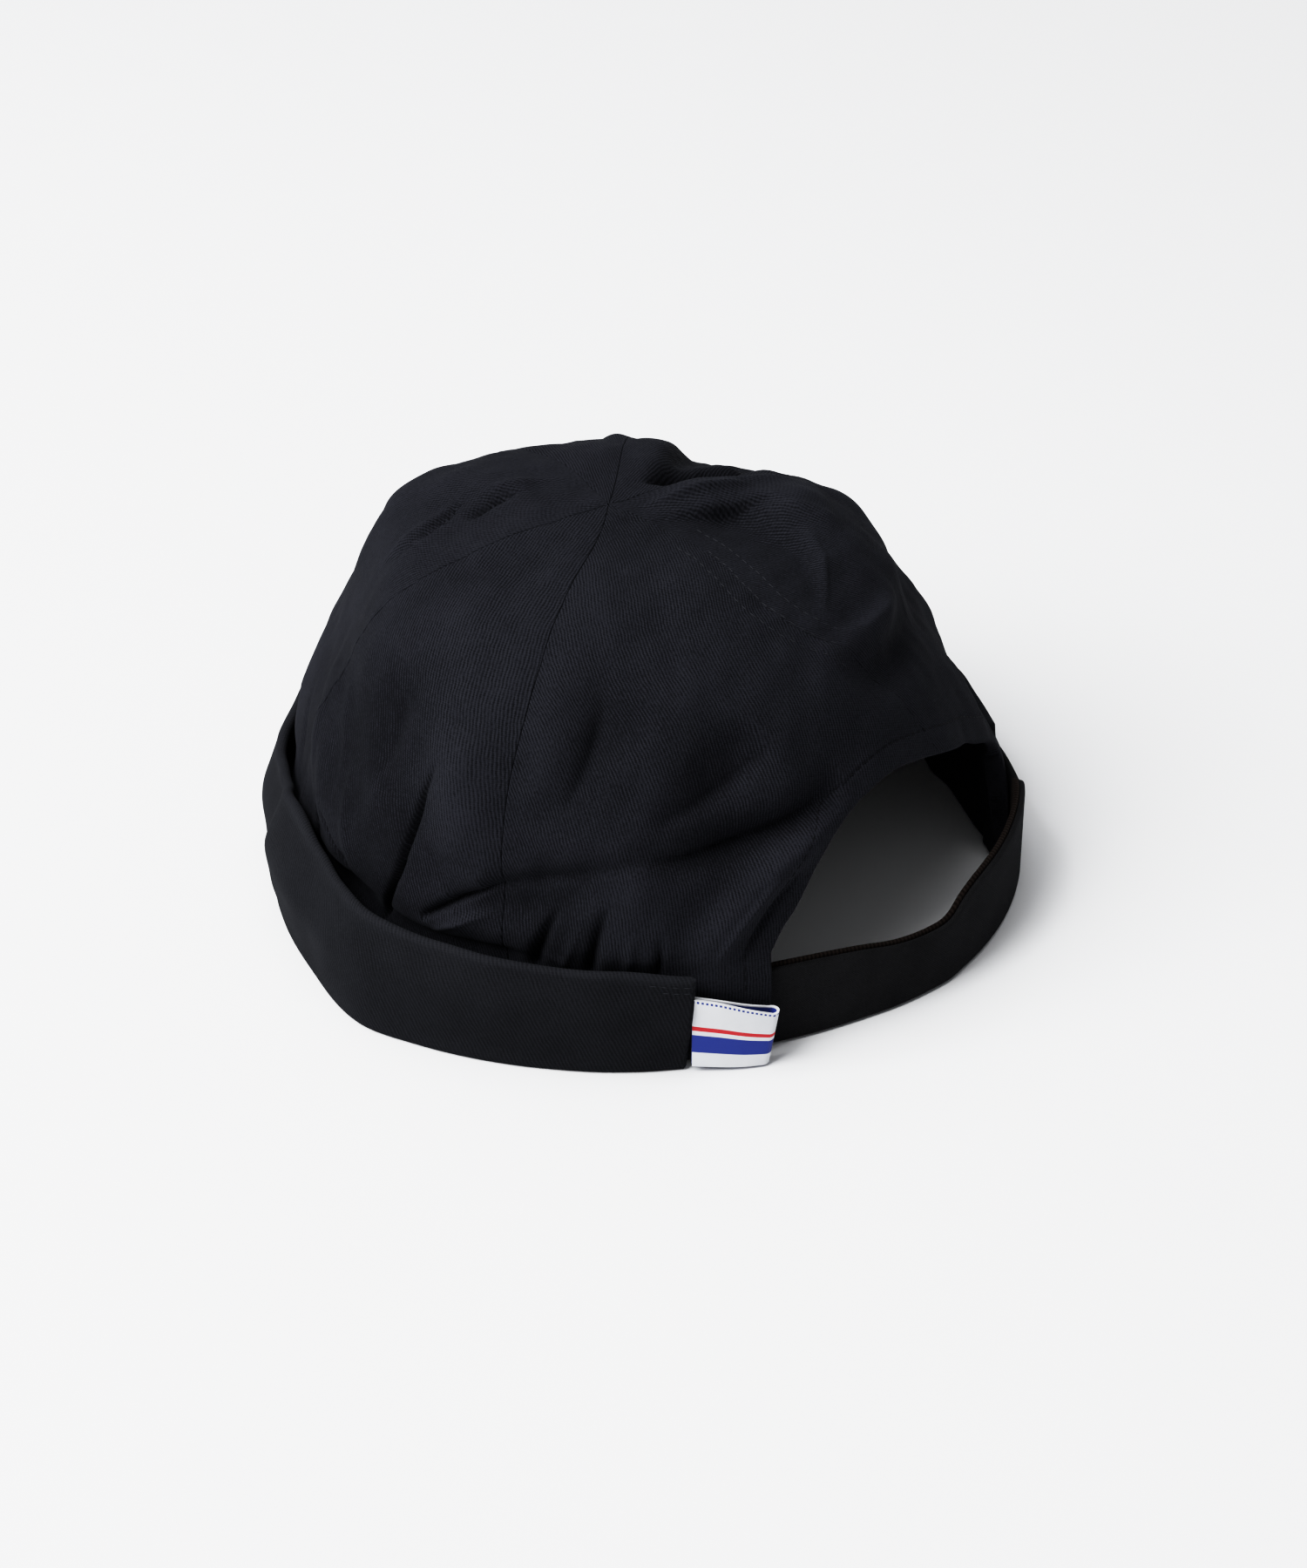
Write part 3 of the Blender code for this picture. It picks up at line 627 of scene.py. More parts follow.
def loft(name, rings, uvs, material, sharp=60.0):
    """Closed body through rings; a ring's first half runs up one side of the wall and
    its second half down the other, so each end is closed by a ladder of faces."""
    count = len(rings[0])
    faces = []
    for left in range(0, (len(rings) - 1) * count, count):
        right = left + count
        for k in range(count):
            after = (k + 1) % count
            faces.append((left + k, right + k, right + after, left + after))
    for first in (0, (len(rings) - 1) * count):
        for k in range(count // 2 - 1):
            across = first + count - 1 - k
            faces.append((first + k, first + k + 1, across - 1, across))
    mesh = bpy.data.meshes.new(name)
    mesh.from_pydata(np.vstack(rings).tolist(), [], faces)
    layer = mesh.uv_layers.new(name="cloth")
    index = np.empty(len(mesh.loops), dtype=np.int32)
    mesh.loops.foreach_get("vertex_index", index)
    layer.data.foreach_set("uv", np.vstack(uvs)[index].ravel().astype(np.float32))
    face_outwards(mesh)
    mesh.materials.append(material)
    mesh.shade_smooth()
    mesh.set_sharp_from_angle(angle=radians(sharp))
    return link(name, mesh)


def set_attribute(piece, name, values):
    """Store one number for each point of a piece."""
    layer = piece.data.attributes.new(name, "FLOAT", "POINT")
    layer.data.foreach_set("value", np.asarray(values, dtype=np.float32))


def crown_panel(name, start, end, count, rows, grain, material):
    """One panel of the crown with a rounded hem round the opening."""
    shares = panel_shares(start, end, count)
    rises = panel_rises(start, end, shares, rows)
    shares = shares[:, None]
    angle = panel_angle(start, end, shares, rises)
    lift, edge = relief(angle, rises)
    moved = placed(angle, rises)
    base = smooth_form(moved, rises)
    normal = form_normal(moved, rises)
    turn = (seam_angle(end, rises) - seam_angle(start, rises)) % 360.0
    span = np.radians(turn) * form_radius(rises)
    wall = PANEL_WALL + (HEM_WALL - PANEL_WALL) * smooth_step((HEM_WIDTH - edge) / 0.002)
    gathers = 1.0 + 0.04 * ripple(base, 0.016, 9)
    wall = wall + FOOT_DEPTH * foot_bulk(moved, rises) * gathers
    open_edge = roll(edge, 0.5 * HEM_WALL) * smooth_step(rises / 0.02)
    outside = lift - open_edge
    for seam, share in ((start, shares), (end, 1.0 - shares)):
        radius = SEAM_ROLL * (0.5 if seam == "back" else 1.0)
        outside = outside - roll(share * span + 0.5 * SEAM_TOUCH, radius)
    inside = lift - wall + open_edge
    front = base + normal * outside[..., None]
    back = base + normal * inside[..., None]
    lean = radians(grain)
    across, up = (shares - 0.5) * span, rises * MERIDIAN
    uv = np.stack([
        across * cos(lean) + up * sin(lean),
        up * cos(lean) - across * sin(lean),
    ], axis=-1)
    rings = [np.vstack([near, far[::-1]]) for near, far in zip(front, back)]
    uvs = [np.vstack([column, column[::-1]]) for column in uv]
    piece = loft(f"{name}_panel_cloth", rings, uvs, material)
    # The relief goes to the shader as the lift attribute: raised ridges are lightened as wear,
    # dents darkened as painted shade
    lifts = np.concatenate([lift, lift[:, ::-1]], axis=1)
    set_attribute(piece, "lift", lifts.ravel() * 1000.0)
    return piece


def place_ring(angle, profile):
    """Points of a profile of radii and heights, stood up at an angle round the cap."""
    turn = radians(angle)
    x, y = PLAN_CENTRE
    return np.array([(x + r * cos(turn), y + r * sin(turn), z) for r, z in profile])


def crown_radius(angle, rise):
    """Radius of the crown's smooth form about its axis, near its hem."""
    point = smooth_form(angle, rise)
    return float(np.hypot(point[..., 0] - PLAN_CENTRE[0], point[..., 1] - PLAN_CENTRE[1]))


def rise_of(height):
    """Rise at which the crown reaches a height."""
    shares = [row[1] for row in CROWN_SECTIONS]
    return float(np.interp(height / CROWN_HEIGHT, shares, [row[0] for row in CROWN_SECTIONS]))


def arc_points(centre, radii, first, last, steps):
    """Points of an elliptic arc in a section, angles in degrees from outward."""
    (x, y), (wide, high) = centre, radii
    turns = np.radians(np.linspace(first, last, steps + 1))
    return [(x + wide * cos(turn), y + high * sin(turn)) for turn in turns]


def head_ripple(angle, height, size, seed):
    """Soft random waves read on a plain round head, at an angle and a height."""
    turn = radians(angle)
    point = np.array([[HEAD_RADIUS * cos(turn), HEAD_RADIUS * sin(turn), height]])
    return float(ripple(point, size, seed)[0])


def cuff_wave(angle, share):
    """Small waves of the cuff's cloth at an angle and a share of its height, with the
    step and the line where its cloth overlaps."""
    broad = head_ripple(angle, 0.03 * share, 0.045, 41) * 0.00035
    fine = head_ripple(angle, 0.03 * share, 0.014, 42) * 0.00012
    step = CUFF_OVERLAP_STEP * float(window(-angle, *CUFF_OVERLAP))
    line = -CUFF_OVERLAP_LINE * float(bell(angle, -41.0, 0.9))
    return (broad + fine - step + line) * float(smooth_step(share / 0.25))


def cuff_profile(angle):
    """Section of the folded cuff, up its outside, over the fold and down its inside."""
    at_foot, at_middle, at_top, share = row_values(CUFF_SECTIONS, angle)
    height = share * CUFF_HEIGHT + 0.00035 * head_ripple(angle, 0.0, 0.030, 43)
    stands = (at_foot, 0.4 * at_foot + 0.6 * at_middle, at_middle, at_top)
    radii = [
        crown_radius(angle, rise_of(level * height)) + SEAM_GAP + CUFF_WALL + stand * HEAD_RADIUS
        for level, stand in zip(CUFF_LEVELS, stands)
    ]
    half = 0.5 * CUFF_WALL
    climb = np.linspace(0.07, 1.0 - half / height, CUFF_CLIMB)
    outer = curve_through(CUFF_LEVELS, radii, climb)
    outer = outer + np.array([cuff_wave(angle, s) for s in climb])
    hem = crown_radius(angle, 0.02) + SEAM_GAP
    foot, low = outer[0], climb[0] * height
    profile = [(hem + 0.0009, 0.0), (foot - CUFF_FOOT_ROUND, 0.0)]
    profile += arc_points((foot - CUFF_FOOT_ROUND, low), (CUFF_FOOT_ROUND, low), -70.0, -15.0, 4)
    profile += [(r, s * height) for r, s in zip(outer, climb)]
    profile += arc_points((outer[-1] - half, climb[-1] * height), (half, half), 15.0, 165.0, 10)
    inner = [(r - CUFF_WALL, s * height) for r, s in zip(outer, climb)][::-1]
    profile += inner[:-1]
    profile += [(max(inner[-1][0], hem), CUFF_SOLE * 1.05)]
    profile += [(0.5 * (hem + foot - CUFF_WALL), CUFF_SOLE), (hem, CUFF_SOLE)]
    profile += [(hem, 0.0005), (hem + 0.0003, 0.0001)]
    return profile


def profile_uv(profile, angle):
    """Cloth coordinates of a section: round the cap and along the section."""
    length = way_along(np.array(profile))
    return np.stack([np.full(len(length), radians(angle) * HEAD_RADIUS), length], axis=-1)


def soften_ends(rings, uvs, reach=0.0011, steps=4):
    """Round a lofted body's two ends by drawing added rings in towards their middle line."""
    for end, neighbour in ((0, 1), (-1, -2)):
        ring = rings[end]
        ahead = np.mean(ring - rings[neighbour], axis=0)
        ahead = ahead / np.linalg.norm(ahead)
        middle = 0.5 * (ring + ring[::-1])
        rounds = []
        for k in range(1, steps + 1):
            turn = 0.5 * pi * k / steps
            drawn = (ring - middle) * (cos(turn) * 0.9 + 0.1)
            rounds.append(middle + drawn + ahead * (sin(turn) * reach - reach))
        rings[end] = ring - ahead * reach
        if end == 0:
            rings, uvs = rounds[::-1] + rings, [uvs[0]] * steps + uvs
        else:
            rings, uvs = rings + rounds, uvs + [uvs[-1]] * steps
    return rings, uvs


def make_cuff(material):
    """The turned-up cuff with its creases, rounded ends and a painted highlight along its rim.
    """
    rings, uvs, rim_light = [], [], []
    for angle in np.linspace(CUFF_SECTIONS[-1][0], CUFF_SECTIONS[0][0], CUFF_STEPS + 1):
        profile = cuff_profile(angle)
        slant = CUFF_END_SLANT * float(smooth_step((angle - 33.0) / 9.0)) / CUFF_HEIGHT
        ring = [place_ring(angle + slant * (z - 0.014), ((r, z),))[0] for r, z in profile]
        rings.append(np.array(ring))
        uvs.append(profile_uv(profile, angle))
        # Painted highlight: the cloth along the rim is lightened through the lift attribute
        rim = bell(rings[-1][:, 2], cuff_height(angle), RIM_HIGHLIGHT_WIDTH)
        rim_light.append(RIM_HIGHLIGHT * rim + CUFF_TONE_OFFSET)
    rings, uvs = soften_ends(rings, uvs)
    rim_light = [rim_light[0]] * 4 + rim_light + [rim_light[-1]] * 4
    piece = loft("cuff_cloth", rings, uvs, material, sharp=75.0)
    set_attribute(piece, "lift", np.concatenate(rim_light))
    return piece


def strap_profile(radius, height):
    """Section of a strap layer with rounded edges."""
    half = 0.5 * STRAP_WALL
    middle, low = radius - half, HEM_LIFT + half
    profile = arc_points((middle, low), (half, half), -75.0, 0.0, 4)
    profile += [(radius, low + (height - STRAP_WALL - HEM_LIFT) * k / 9) for k in range(1, 9)]
    profile += arc_points((middle, height - half), (half, half), 0.0, 90.0, 5)
    return profile + [(2.0 * middle - r, z) for r, z in profile][::-1]


def strap_layer(name, first, last, steps, material, inset=0.0, lip=0.0):
    """One layer of the strap under the opening, between two angles."""
    rings, uvs = [], []
    for angle in np.linspace(first, last, steps + 1):
        side, bow, height = row_values(STRAP_SECTIONS, angle)
        outside = side * (SEAM_GAP + STRAP_WALL) - (1.0 - side) * (SEAM_GAP + PANEL_WALL)
        radius = crown_radius(angle, 0.1) + outside + bow * HEAD_RADIUS
        profile = strap_profile(radius - inset, height * STRAP_HEIGHT + lip)
        rings.append(place_ring(angle, profile))
        uvs.append(profile_uv(profile, angle))
    return loft(name, rings, uvs, material)


def label_path():
    """Middle line of the label's loop as angles, radii, feet and tops."""
    first, last = LABEL_SECTIONS[0][0], LABEL_SECTIONS[-1][0]
    path = [(angle, 0.0) for angle in np.linspace(first, last, 40)]
    arc = degrees(0.5 * (LABEL_SECTIONS[-1][4] + LABEL_WALL) / HEAD_RADIUS)
    for turn in np.linspace(0.0, pi, 14)[1:-1]:
        path.append((last + arc * sin(turn), 0.5 * (1.0 - cos(turn))))
    path += [(angle, 1.0) for angle in np.linspace(last, first, 40)]
    rows = []
    for angle, share in path:
        stand, foot, top, gap = row_values(LABEL_SECTIONS, angle)
        outside = SEAM_GAP + 1.5 * LABEL_WALL + LABEL_LOOP + stand * HEAD_RADIUS
        middle = crown_radius(angle, 0.1) + outside - share * (gap + LABEL_WALL)
        rows.append((angle, middle, foot * LABEL_HEIGHT, top * LABEL_HEIGHT))
    return rows


def make_label(material):
    """The woven label, folded into a loop beside the cuff's end."""
    rows = label_path()
    line = np.array([place_ring(row[0], ((row[1], 0.0),))[0][:2] for row in rows])
    ahead = np.gradient(line, axis=0)
    side = unit(np.stack([ahead[:, 1], -ahead[:, 0]], axis=-1)) * 0.5 * LABEL_WALL
    length = way_along(line)
    turn = radians(LABEL_SECTIONS[-1][0])
    back_way = np.array([sin(turn), -cos(turn)])
    climb = np.linspace(0.0, 1.0, LABEL_LEVELS)
    height = np.concatenate([climb, climb[::-1]]) * LABEL_HEIGHT
    rings, uvs = [], []
    for k, (angle, _, foot, top) in enumerate(rows):
        share = float(smooth_step((angle - 44.0) / 11.0))
        levels = np.linspace(foot, top, LABEL_LEVELS)[:, None]
        lean = (1.0 - climb)[:, None] * back_way * LABEL_SHEAR * share
        out = np.hstack([line[k] + side[k] + lean, levels])
        back = np.hstack([line[k] - side[k] + lean, levels])
        rings.append(np.vstack([out, back[::-1]]))
        uvs.append(np.stack([np.full(len(height), length[k]), height], axis=-1))
    piece = loft("label_loop", rings, uvs, material, sharp=50.0)
    set_attribute(piece, "face", np.tile(np.repeat([1.0, 0.0], LABEL_LEVELS), len(rows)))
    return piece


def surface_point(angle, rise, lift):
    """Points on the crown's folded cloth, raised off it."""
    height, _ = relief(angle, rise)
    angle = placed(angle, rise)
    return smooth_form(angle, rise) + form_normal(angle, rise) * (height + lift)[:, None]


class Nodes:
    """Short hand for building a node tree."""

    def __init__(self, tree):
        self.tree = tree

    def feed(self, socket, value):
        if isinstance(value, bpy.types.NodeSocket):
            self.tree.links.new(value, socket)
        else:
            socket.default_value = value

    def add(self, kind, inputs=None, **settings):
        """A node with its settings and its inputs, by name or number; gives the node."""
        node = self.tree.nodes.new(kind)
        for key, value in settings.items():
            setattr(node, key, value)
        for key, value in (inputs or {}).items():
            self.feed(node.inputs[key], value)
        return node

    def get(self, kind, inputs=None, output=0, **settings):
        """The same, giving one of its outputs."""
        return self.add(kind, inputs, **settings).outputs[output]

    def math(self, operation, *values):
        return self.get("ShaderNodeMath", dict(enumerate(values)), operation=operation)

    def times(self, first, second):
        return self.math("MULTIPLY", first, second)

    def scale_add(self, value, factor, added):
        return self.math("MULTIPLY_ADD", value, factor, added)

    def wave(self, value, length):
        return self.math("SINE", self.times(value, 2.0 * pi / length))

    def ramp(self, value, low, high, start=0.0, end=1.0):
        inputs = dict(enumerate((value, low, high, start, end)))
        return self.get("ShaderNodeMapRange", inputs, interpolation_type="SMOOTHSTEP")

    def noise(self, vector, scale, detail=2.0, roughness=0.5):
        inputs = {"Vector": vector, "Scale": scale, "Detail": detail, "Roughness": roughness}
        return self.get("ShaderNodeTexNoise", inputs, "Fac")

    def mix(self, amount, first, second):
        inputs = {"Factor": amount, 6: first, 7: second}
        return self.get("ShaderNodeMix", inputs, 2, data_type="RGBA")

    def attribute(self, name):
        return self.get("ShaderNodeAttribute", None, "Fac", attribute_name=name)

    def object_place(self):
        return self.get("ShaderNodeTexCoord", None, "Object")

    def cloth_place(self):
        """Coordinates along and up the flat cloth, in metres."""
        where = self.get("ShaderNodeUVMap", uv_map="cloth")
        return self.add("ShaderNodeSeparateXYZ", {0: where}).outputs[:2]


class Cloth:
    """A cloth or thread material under construction: its nodes and its shader."""

    def __init__(
        self, name, colour, roughness, sheen, sheen_roughness, sheen_tint, specular=0.02
    ):
        self.material = bpy.data.materials.new(name)
        self.material.use_nodes = True
        self.material.diffuse_color = (*colour, 1.0)
        self.nodes = Nodes(self.material.node_tree)
        self.shader = self.material.node_tree.nodes["Principled BSDF"]
        even = {
            "Base Color": (*colour, 1.0),
            "Roughness": roughness,
            "Specular IOR Level": specular,
            "Sheen Weight": sheen,
            "Sheen Roughness": sheen_roughness,
            "Sheen Tint": (*sheen_tint, 1.0),
        }
        for key, value in even.items():
            self.shader.inputs[key].default_value = value

    def finish(self, colour, roughness, height, strength, distance):
        """Join the colour, the roughness and the bump to the shader."""
        inputs = {"Strength": strength, "Distance": distance, "Height": height}
        bump = self.nodes.get("ShaderNodeBump", inputs)
        for key, value in (("Base Color", colour), ("Roughness", roughness), ("Normal", bump)):
            self.nodes.feed(self.shader.inputs[key], value)
        return self.material


def scaled(colour, factor):
    """A colour made lighter or darker."""
    return tuple(min(1.0, part * factor) for part in colour) + (1.0,)


def twill_material(name, colour, pitch, lean_degrees, contrast, patch_shade=0.0):
    """Cotton twill: diagonal ribs of short floats and mottled dye. The lift attribute lightens
    raised ridges as wear and darkens dents as painted shade, and on the cuff gives a painted
    highlight along its rim; a patch low on the crown is darkened as painted shade."""
    cloth = Cloth(name, colour, 0.82, 0.012, 0.5, (0.80, 0.86, 1.0))
    nodes = cloth.nodes
    u, v = nodes.cloth_place()
    place = nodes.object_place()
    turn = radians(lean_degrees)
    across = nodes.times(u, cos(turn) / pitch)
    across = nodes.scale_add(v, sin(turn) / pitch, across)
    across = nodes.scale_add(nodes.noise(place, 330.0, 3.0), 1.0, across)
    along = nodes.times(v, cos(turn) / (0.8 * pitch))
    along = nodes.scale_add(u, -sin(turn) / (0.8 * pitch), along)
    rib = nodes.wave(across, 1.0)
    phase = nodes.times(along, 2.0 * pi)
    floats = nodes.math("SINE", nodes.scale_add(across, pi, phase))
    weave = nodes.scale_add(floats, 0.28, nodes.times(rib, 0.72))
    weave = nodes.scale_add(weave, 0.5, 0.5)
    blotch = nodes.noise(place, 55.0, 3.0, 0.55)
    fuzz = nodes.noise(place, 1500.0, 2.0, 0.6)
    broken = nodes.noise(place, 420.0, 2.0, 0.6)
    strength = nodes.ramp(broken, 0.30, 0.70, 0.16 * contrast, 0.50 * contrast)
    middle = nodes.math("SUBTRACT", weave, 0.5)
    shade = nodes.scale_add(middle, strength, 0.86 - 0.20 * contrast)
    shade = nodes.scale_add(blotch, 0.45, shade)
    shade = nodes.scale_add(fuzz, 0.40 * contrast, shade)
    # Raised ridges lighter as wear, dents darker as painted shade; on the cuff, a painted
    # highlight along its rim
    shade = nodes.math("ADD", shade, nodes.ramp(nodes.attribute("lift"), -5.0, 4.0, -0.22, 0.20))
    # Painted shade: a patch low on the crown is darkened by up to the given amount
    inputs = {0: place, 1: SHADE_PATCH_PLACE}
    away = nodes.get("ShaderNodeVectorMath", inputs, "Value", operation="DISTANCE")
    shade = nodes.math("ADD", shade, nodes.ramp(away, *SHADE_PATCH_REACH, -patch_shade, 0.0))
    tone = nodes.ramp(shade, 0.55, 1.60)
    dyed = nodes.mix(tone, scaled(colour, 0.50), scaled(colour, 1.75))
    specks = nodes.add("ShaderNodeTexVoronoi", {"Vector": place, "Scale": 95.0}, feature="F1")
    picked = nodes.get("ShaderNodeSeparateColor", {0: specks.outputs["Color"]})
    near = nodes.ramp(specks.outputs["Distance"], 0.022, 0.038, 1.0, 0.0)
    lint = nodes.times(near, nodes.ramp(picked, 0.985, 0.988))
    dyed = nodes.mix(nodes.times(lint, 0.75), dyed, (0.55, 0.55, 0.55, 1.0))
    height = nodes.scale_add(fuzz, 0.35, weave)
    return cloth.finish(dyed, nodes.ramp(weave, 0.0, 1.0, 0.93, 0.78), height, 0.55, 0.00014)


def plain_weave(nodes, u, v, warp, weft):
    """Height of a plain weave whose threads repeat over two lengths, from 0 to 1."""
    crossing = nodes.times(nodes.wave(u, warp), nodes.wave(v, weft))
    return nodes.scale_add(crossing, 0.5, 0.5)


def webbing_material():
    """Close black cloth of the strap's outer layer with a fine plain weave."""
    colour = (0.0112, 0.0112, 0.0120)
    cloth = Cloth("black_webbing_cloth", colour, 0.86, 0.03, 0.5, (0.85, 0.88, 1.0))
    nodes = cloth.nodes
    u, v = nodes.cloth_place()
    place = nodes.object_place()
    weave = plain_weave(nodes, u, v, 0.0006, 0.0006)
    blotch = nodes.noise(place, 70.0, 3.0, 0.55)
    fuzz = nodes.noise(place, 1400.0, 2.0, 0.6)
    shade = nodes.scale_add(blotch, 0.5, nodes.times(weave, 0.35))
    tone = nodes.ramp(nodes.scale_add(fuzz, 0.4, shade), 0.25, 1.05)
    dyed = nodes.mix(tone, scaled(colour, 0.55), scaled(colour, 1.6))
    height = nodes.scale_add(fuzz, 0.4, weave)
    return cloth.finish(dyed, nodes.ramp(weave, 0.0, 1.0, 0.95, 0.82), height, 0.6, 0.00012)


def binding_material():
    """Ribbed brown-black binding of the strap's inner layer."""
    colour = (0.0100, 0.0072, 0.0062)
    cloth = Cloth("brown_black_ribbed_binding", colour, 0.85, 0.03, 0.5, (1.0, 0.85, 0.78))
    nodes = cloth.nodes
    place = nodes.object_place()
    rib = nodes.scale_add(nodes.wave(nodes.cloth_place()[0], 0.0011), 0.5, 0.5)
    fuzz = nodes.noise(place, 1100.0, 3.0, 0.6)
    blotch = nodes.noise(place, 80.0, 2.0, 0.5)
    shade = nodes.scale_add(fuzz, 0.5, nodes.times(rib, 0.5))
    tone = nodes.ramp(nodes.scale_add(blotch, 0.3, shade), 0.3, 1.1)
    dyed = nodes.mix(tone, scaled(colour, 0.45), scaled(colour, 2.0))
    height = nodes.scale_add(fuzz, 0.3, rib)
    return cloth.finish(dyed, nodes.ramp(rib, 0.0, 1.0, 0.95, 0.8), height, 0.8, 0.00025)


def label_material():
    """White satin-woven label with plain navy and red woven stripes."""
    white = (0.78, 0.79, 0.81)
    cloth = Cloth("white_woven_label_cloth", white, 0.62, 0.2, 0.4, (1.0, 1.0, 1.0), 0.3)
    nodes = cloth.nodes
    u, v = nodes.cloth_place()
    weave = plain_weave(nodes, u, v, 0.00034, 0.00026)
    soil = nodes.noise(nodes.object_place(), 160.0, 3.0, 0.6)
    soil = nodes.scale_add(soil, 0.5, nodes.times(weave, 0.3))
    ground = nodes.mix(soil, (0.52, 0.53, 0.56, 1.0), (0.76, 0.77, 0.79, 1.0))
    navy = nodes.mix(weave, (0.008, 0.022, 0.16, 1.0), (0.014, 0.040, 0.24, 1.0))
    red = nodes.mix(weave, (0.40, 0.012, 0.020, 1.0), (0.55, 0.030, 0.035, 1.0))

    def between(low, high):
        above, below = nodes.math("GREATER_THAN", v, low), nodes.math("LESS_THAN", v, high)
        return nodes.times(above, below)

    face = nodes.mix(between(*NAVY_STRIPE), ground, navy)
    face = nodes.mix(between(*RED_STRIPE), face, red)
    picot = nodes.math("GREATER_THAN", nodes.wave(u, 0.0011), -0.1)
    face = nodes.mix(nodes.times(picot, between(*EDGE_STITCHES)), face, navy)
    lining = nodes.mix(nodes.math("GREATER_THAN", v, LINING_TOP), navy, ground)
    face = nodes.mix(nodes.math("GREATER_THAN", nodes.attribute("face"), 0.5), lining, face)
    return cloth.finish(face, nodes.ramp(weave, 0.0, 1.0, 0.75, 0.55), weave, 0.5, 0.00006)


def thread_material(name, colour):
    """Twisted sewing thread."""
    cloth = Cloth(name, colour, 0.75, 0.02, 0.4, (1.0, 1.0, 1.0), 0.04)
    nodes = cloth.nodes
    ply = nodes.noise(nodes.object_place(), 3800.0, 2.0, 0.6)
    dyed = nodes.mix(ply, scaled(colour, 0.6), scaled(colour, 1.4))
    return cloth.finish(dyed, nodes.ramp(ply, 0.2, 0.8, 0.75, 0.55), ply, 0.6, 0.00005)


def stitch_tree():
    """Geometry Nodes that lay stitches of a length, pitch and thickness along a line."""
    tree = bpy.data.node_groups.new("stitch_row", "GeometryNodeTree")
    kinds = {"Geometry": "Geometry", "Thread": "Material"}
    for name in ("Geometry", "Pitch", "Stitch Length", "Thread Radius", "Wander", "Thread"):
        kind = f"NodeSocket{kinds.get(name, 'Float')}"
        tree.interface.new_socket(name, in_out="INPUT", socket_type=kind)
    tree.interface.new_socket("Geometry", in_out="OUTPUT", socket_type="NodeSocketGeometry")
    nodes = Nodes(tree)
    given = nodes.add("NodeGroupInput").outputs
    line = nodes.get("GeometryNodeMeshToCurve", {0: given["Geometry"]})
    inputs = {"Curve": line, "Length": given["Pitch"]}
    even = nodes.get("GeometryNodeResampleCurve", inputs, mode="LENGTH")
    ends = {"Start": (-0.5, 0.0, 0.0), "End": (0.5, 0.0, 0.0)}
    short = nodes.get("GeometryNodeCurvePrimitiveLine", ends)
    fine = nodes.get("GeometryNodeResampleCurve", {"Curve": short, "Count": 5}, mode="COUNT")
    factor = nodes.get("GeometryNodeSplineParameter", None, "Factor")
    bulge = nodes.math("SINE", nodes.scale_add(factor, 2.3, 0.42))
    ring = nodes.get("GeometryNodeCurvePrimitiveCircle", {"Resolution": 6, "Radius": 1.0})
    inputs = {"Curve": fine, "Profile Curve": ring, "Fill Caps": True, "Scale": bulge}
    body = nodes.get("GeometryNodeCurveToMesh", inputs)
    inputs = {0: given["Stitch Length"], 1: given["Thread Radius"], 2: given["Thread Radius"]}
    size = nodes.get("ShaderNodeCombineXYZ", inputs)
    tangent = nodes.get("GeometryNodeInputTangent")
    limits = {0: (-1.0, -1.0, -1.0), 1: (1.0, 1.0, 1.0), "Seed": 7}
    stray = nodes.get("FunctionNodeRandomValue", limits, data_type="FLOAT_VECTOR")
    inputs = {0: stray, "Scale": given["Wander"]}
    veer = nodes.get("ShaderNodeVectorMath", inputs, operation="SCALE")
    way = nodes.get("ShaderNodeVectorMath", {0: tangent, 1: veer}, operation="ADD")
    turn = nodes.get("FunctionNodeAlignRotationToVector", {"Vector": way}, axis="X")
    inputs = {"Points": even, "Instance": body, "Rotation": turn, "Scale": size}
    laid = nodes.get("GeometryNodeInstanceOnPoints", inputs)
    real = nodes.get("GeometryNodeRealizeInstances", {0: laid})
    inputs = {"Geometry": real, "Material": given["Thread"]}
    painted = nodes.get("GeometryNodeSetMaterial", inputs)
    nodes.add("NodeGroupOutput", {0: painted})
    return tree


def stitch_rows(name, lines, tree, pitch, length, radius, thread):
    """Stitches along several lines of points, as one plain mesh."""
    mesh = bpy.data.meshes.new(f"{name}_line")
    points, edges = [], []
    for line in lines:
        first = len(points)
        points += [tuple(point) for point in line]
        edges += [(first + k, first + k + 1) for k in range(len(line) - 1)]
    mesh.from_pydata(points, edges, [])
    carrier = link(f"{name}_line", mesh)
    modifier = carrier.modifiers.new("stitches", "NODES")
    modifier.node_group = tree
    given = {
        "Pitch": pitch,
        "Stitch Length": length,
        "Thread Radius": radius,
        "Wander": STITCH_WANDER,
        "Thread": thread,
    }
    for item in tree.interface.items_tree:
        if item.in_out == "INPUT" and item.name in given:
            modifier[item.identifier] = given[item.name]
    bpy.context.view_layer.update()
    graph = bpy.context.evaluated_depsgraph_get()
    made = bpy.data.meshes.new_from_object(carrier.evaluated_get(graph))
    made.name = name
    carrier.modifiers.remove(modifier)
    bpy.data.objects.remove(carrier, do_unlink=True)
    face_outwards(made)
    made.shade_smooth()
    return link(name, made)


def seam_rows(name, aside, low, high):
    """A line of points beside a seam, that far over the cloth from it."""
    rises = np.linspace(low, high, 120)
    angle = seam_angle(name, rises) + np.degrees(aside / form_radius(rises))
    return surface_point(angle, rises, 0.00006)


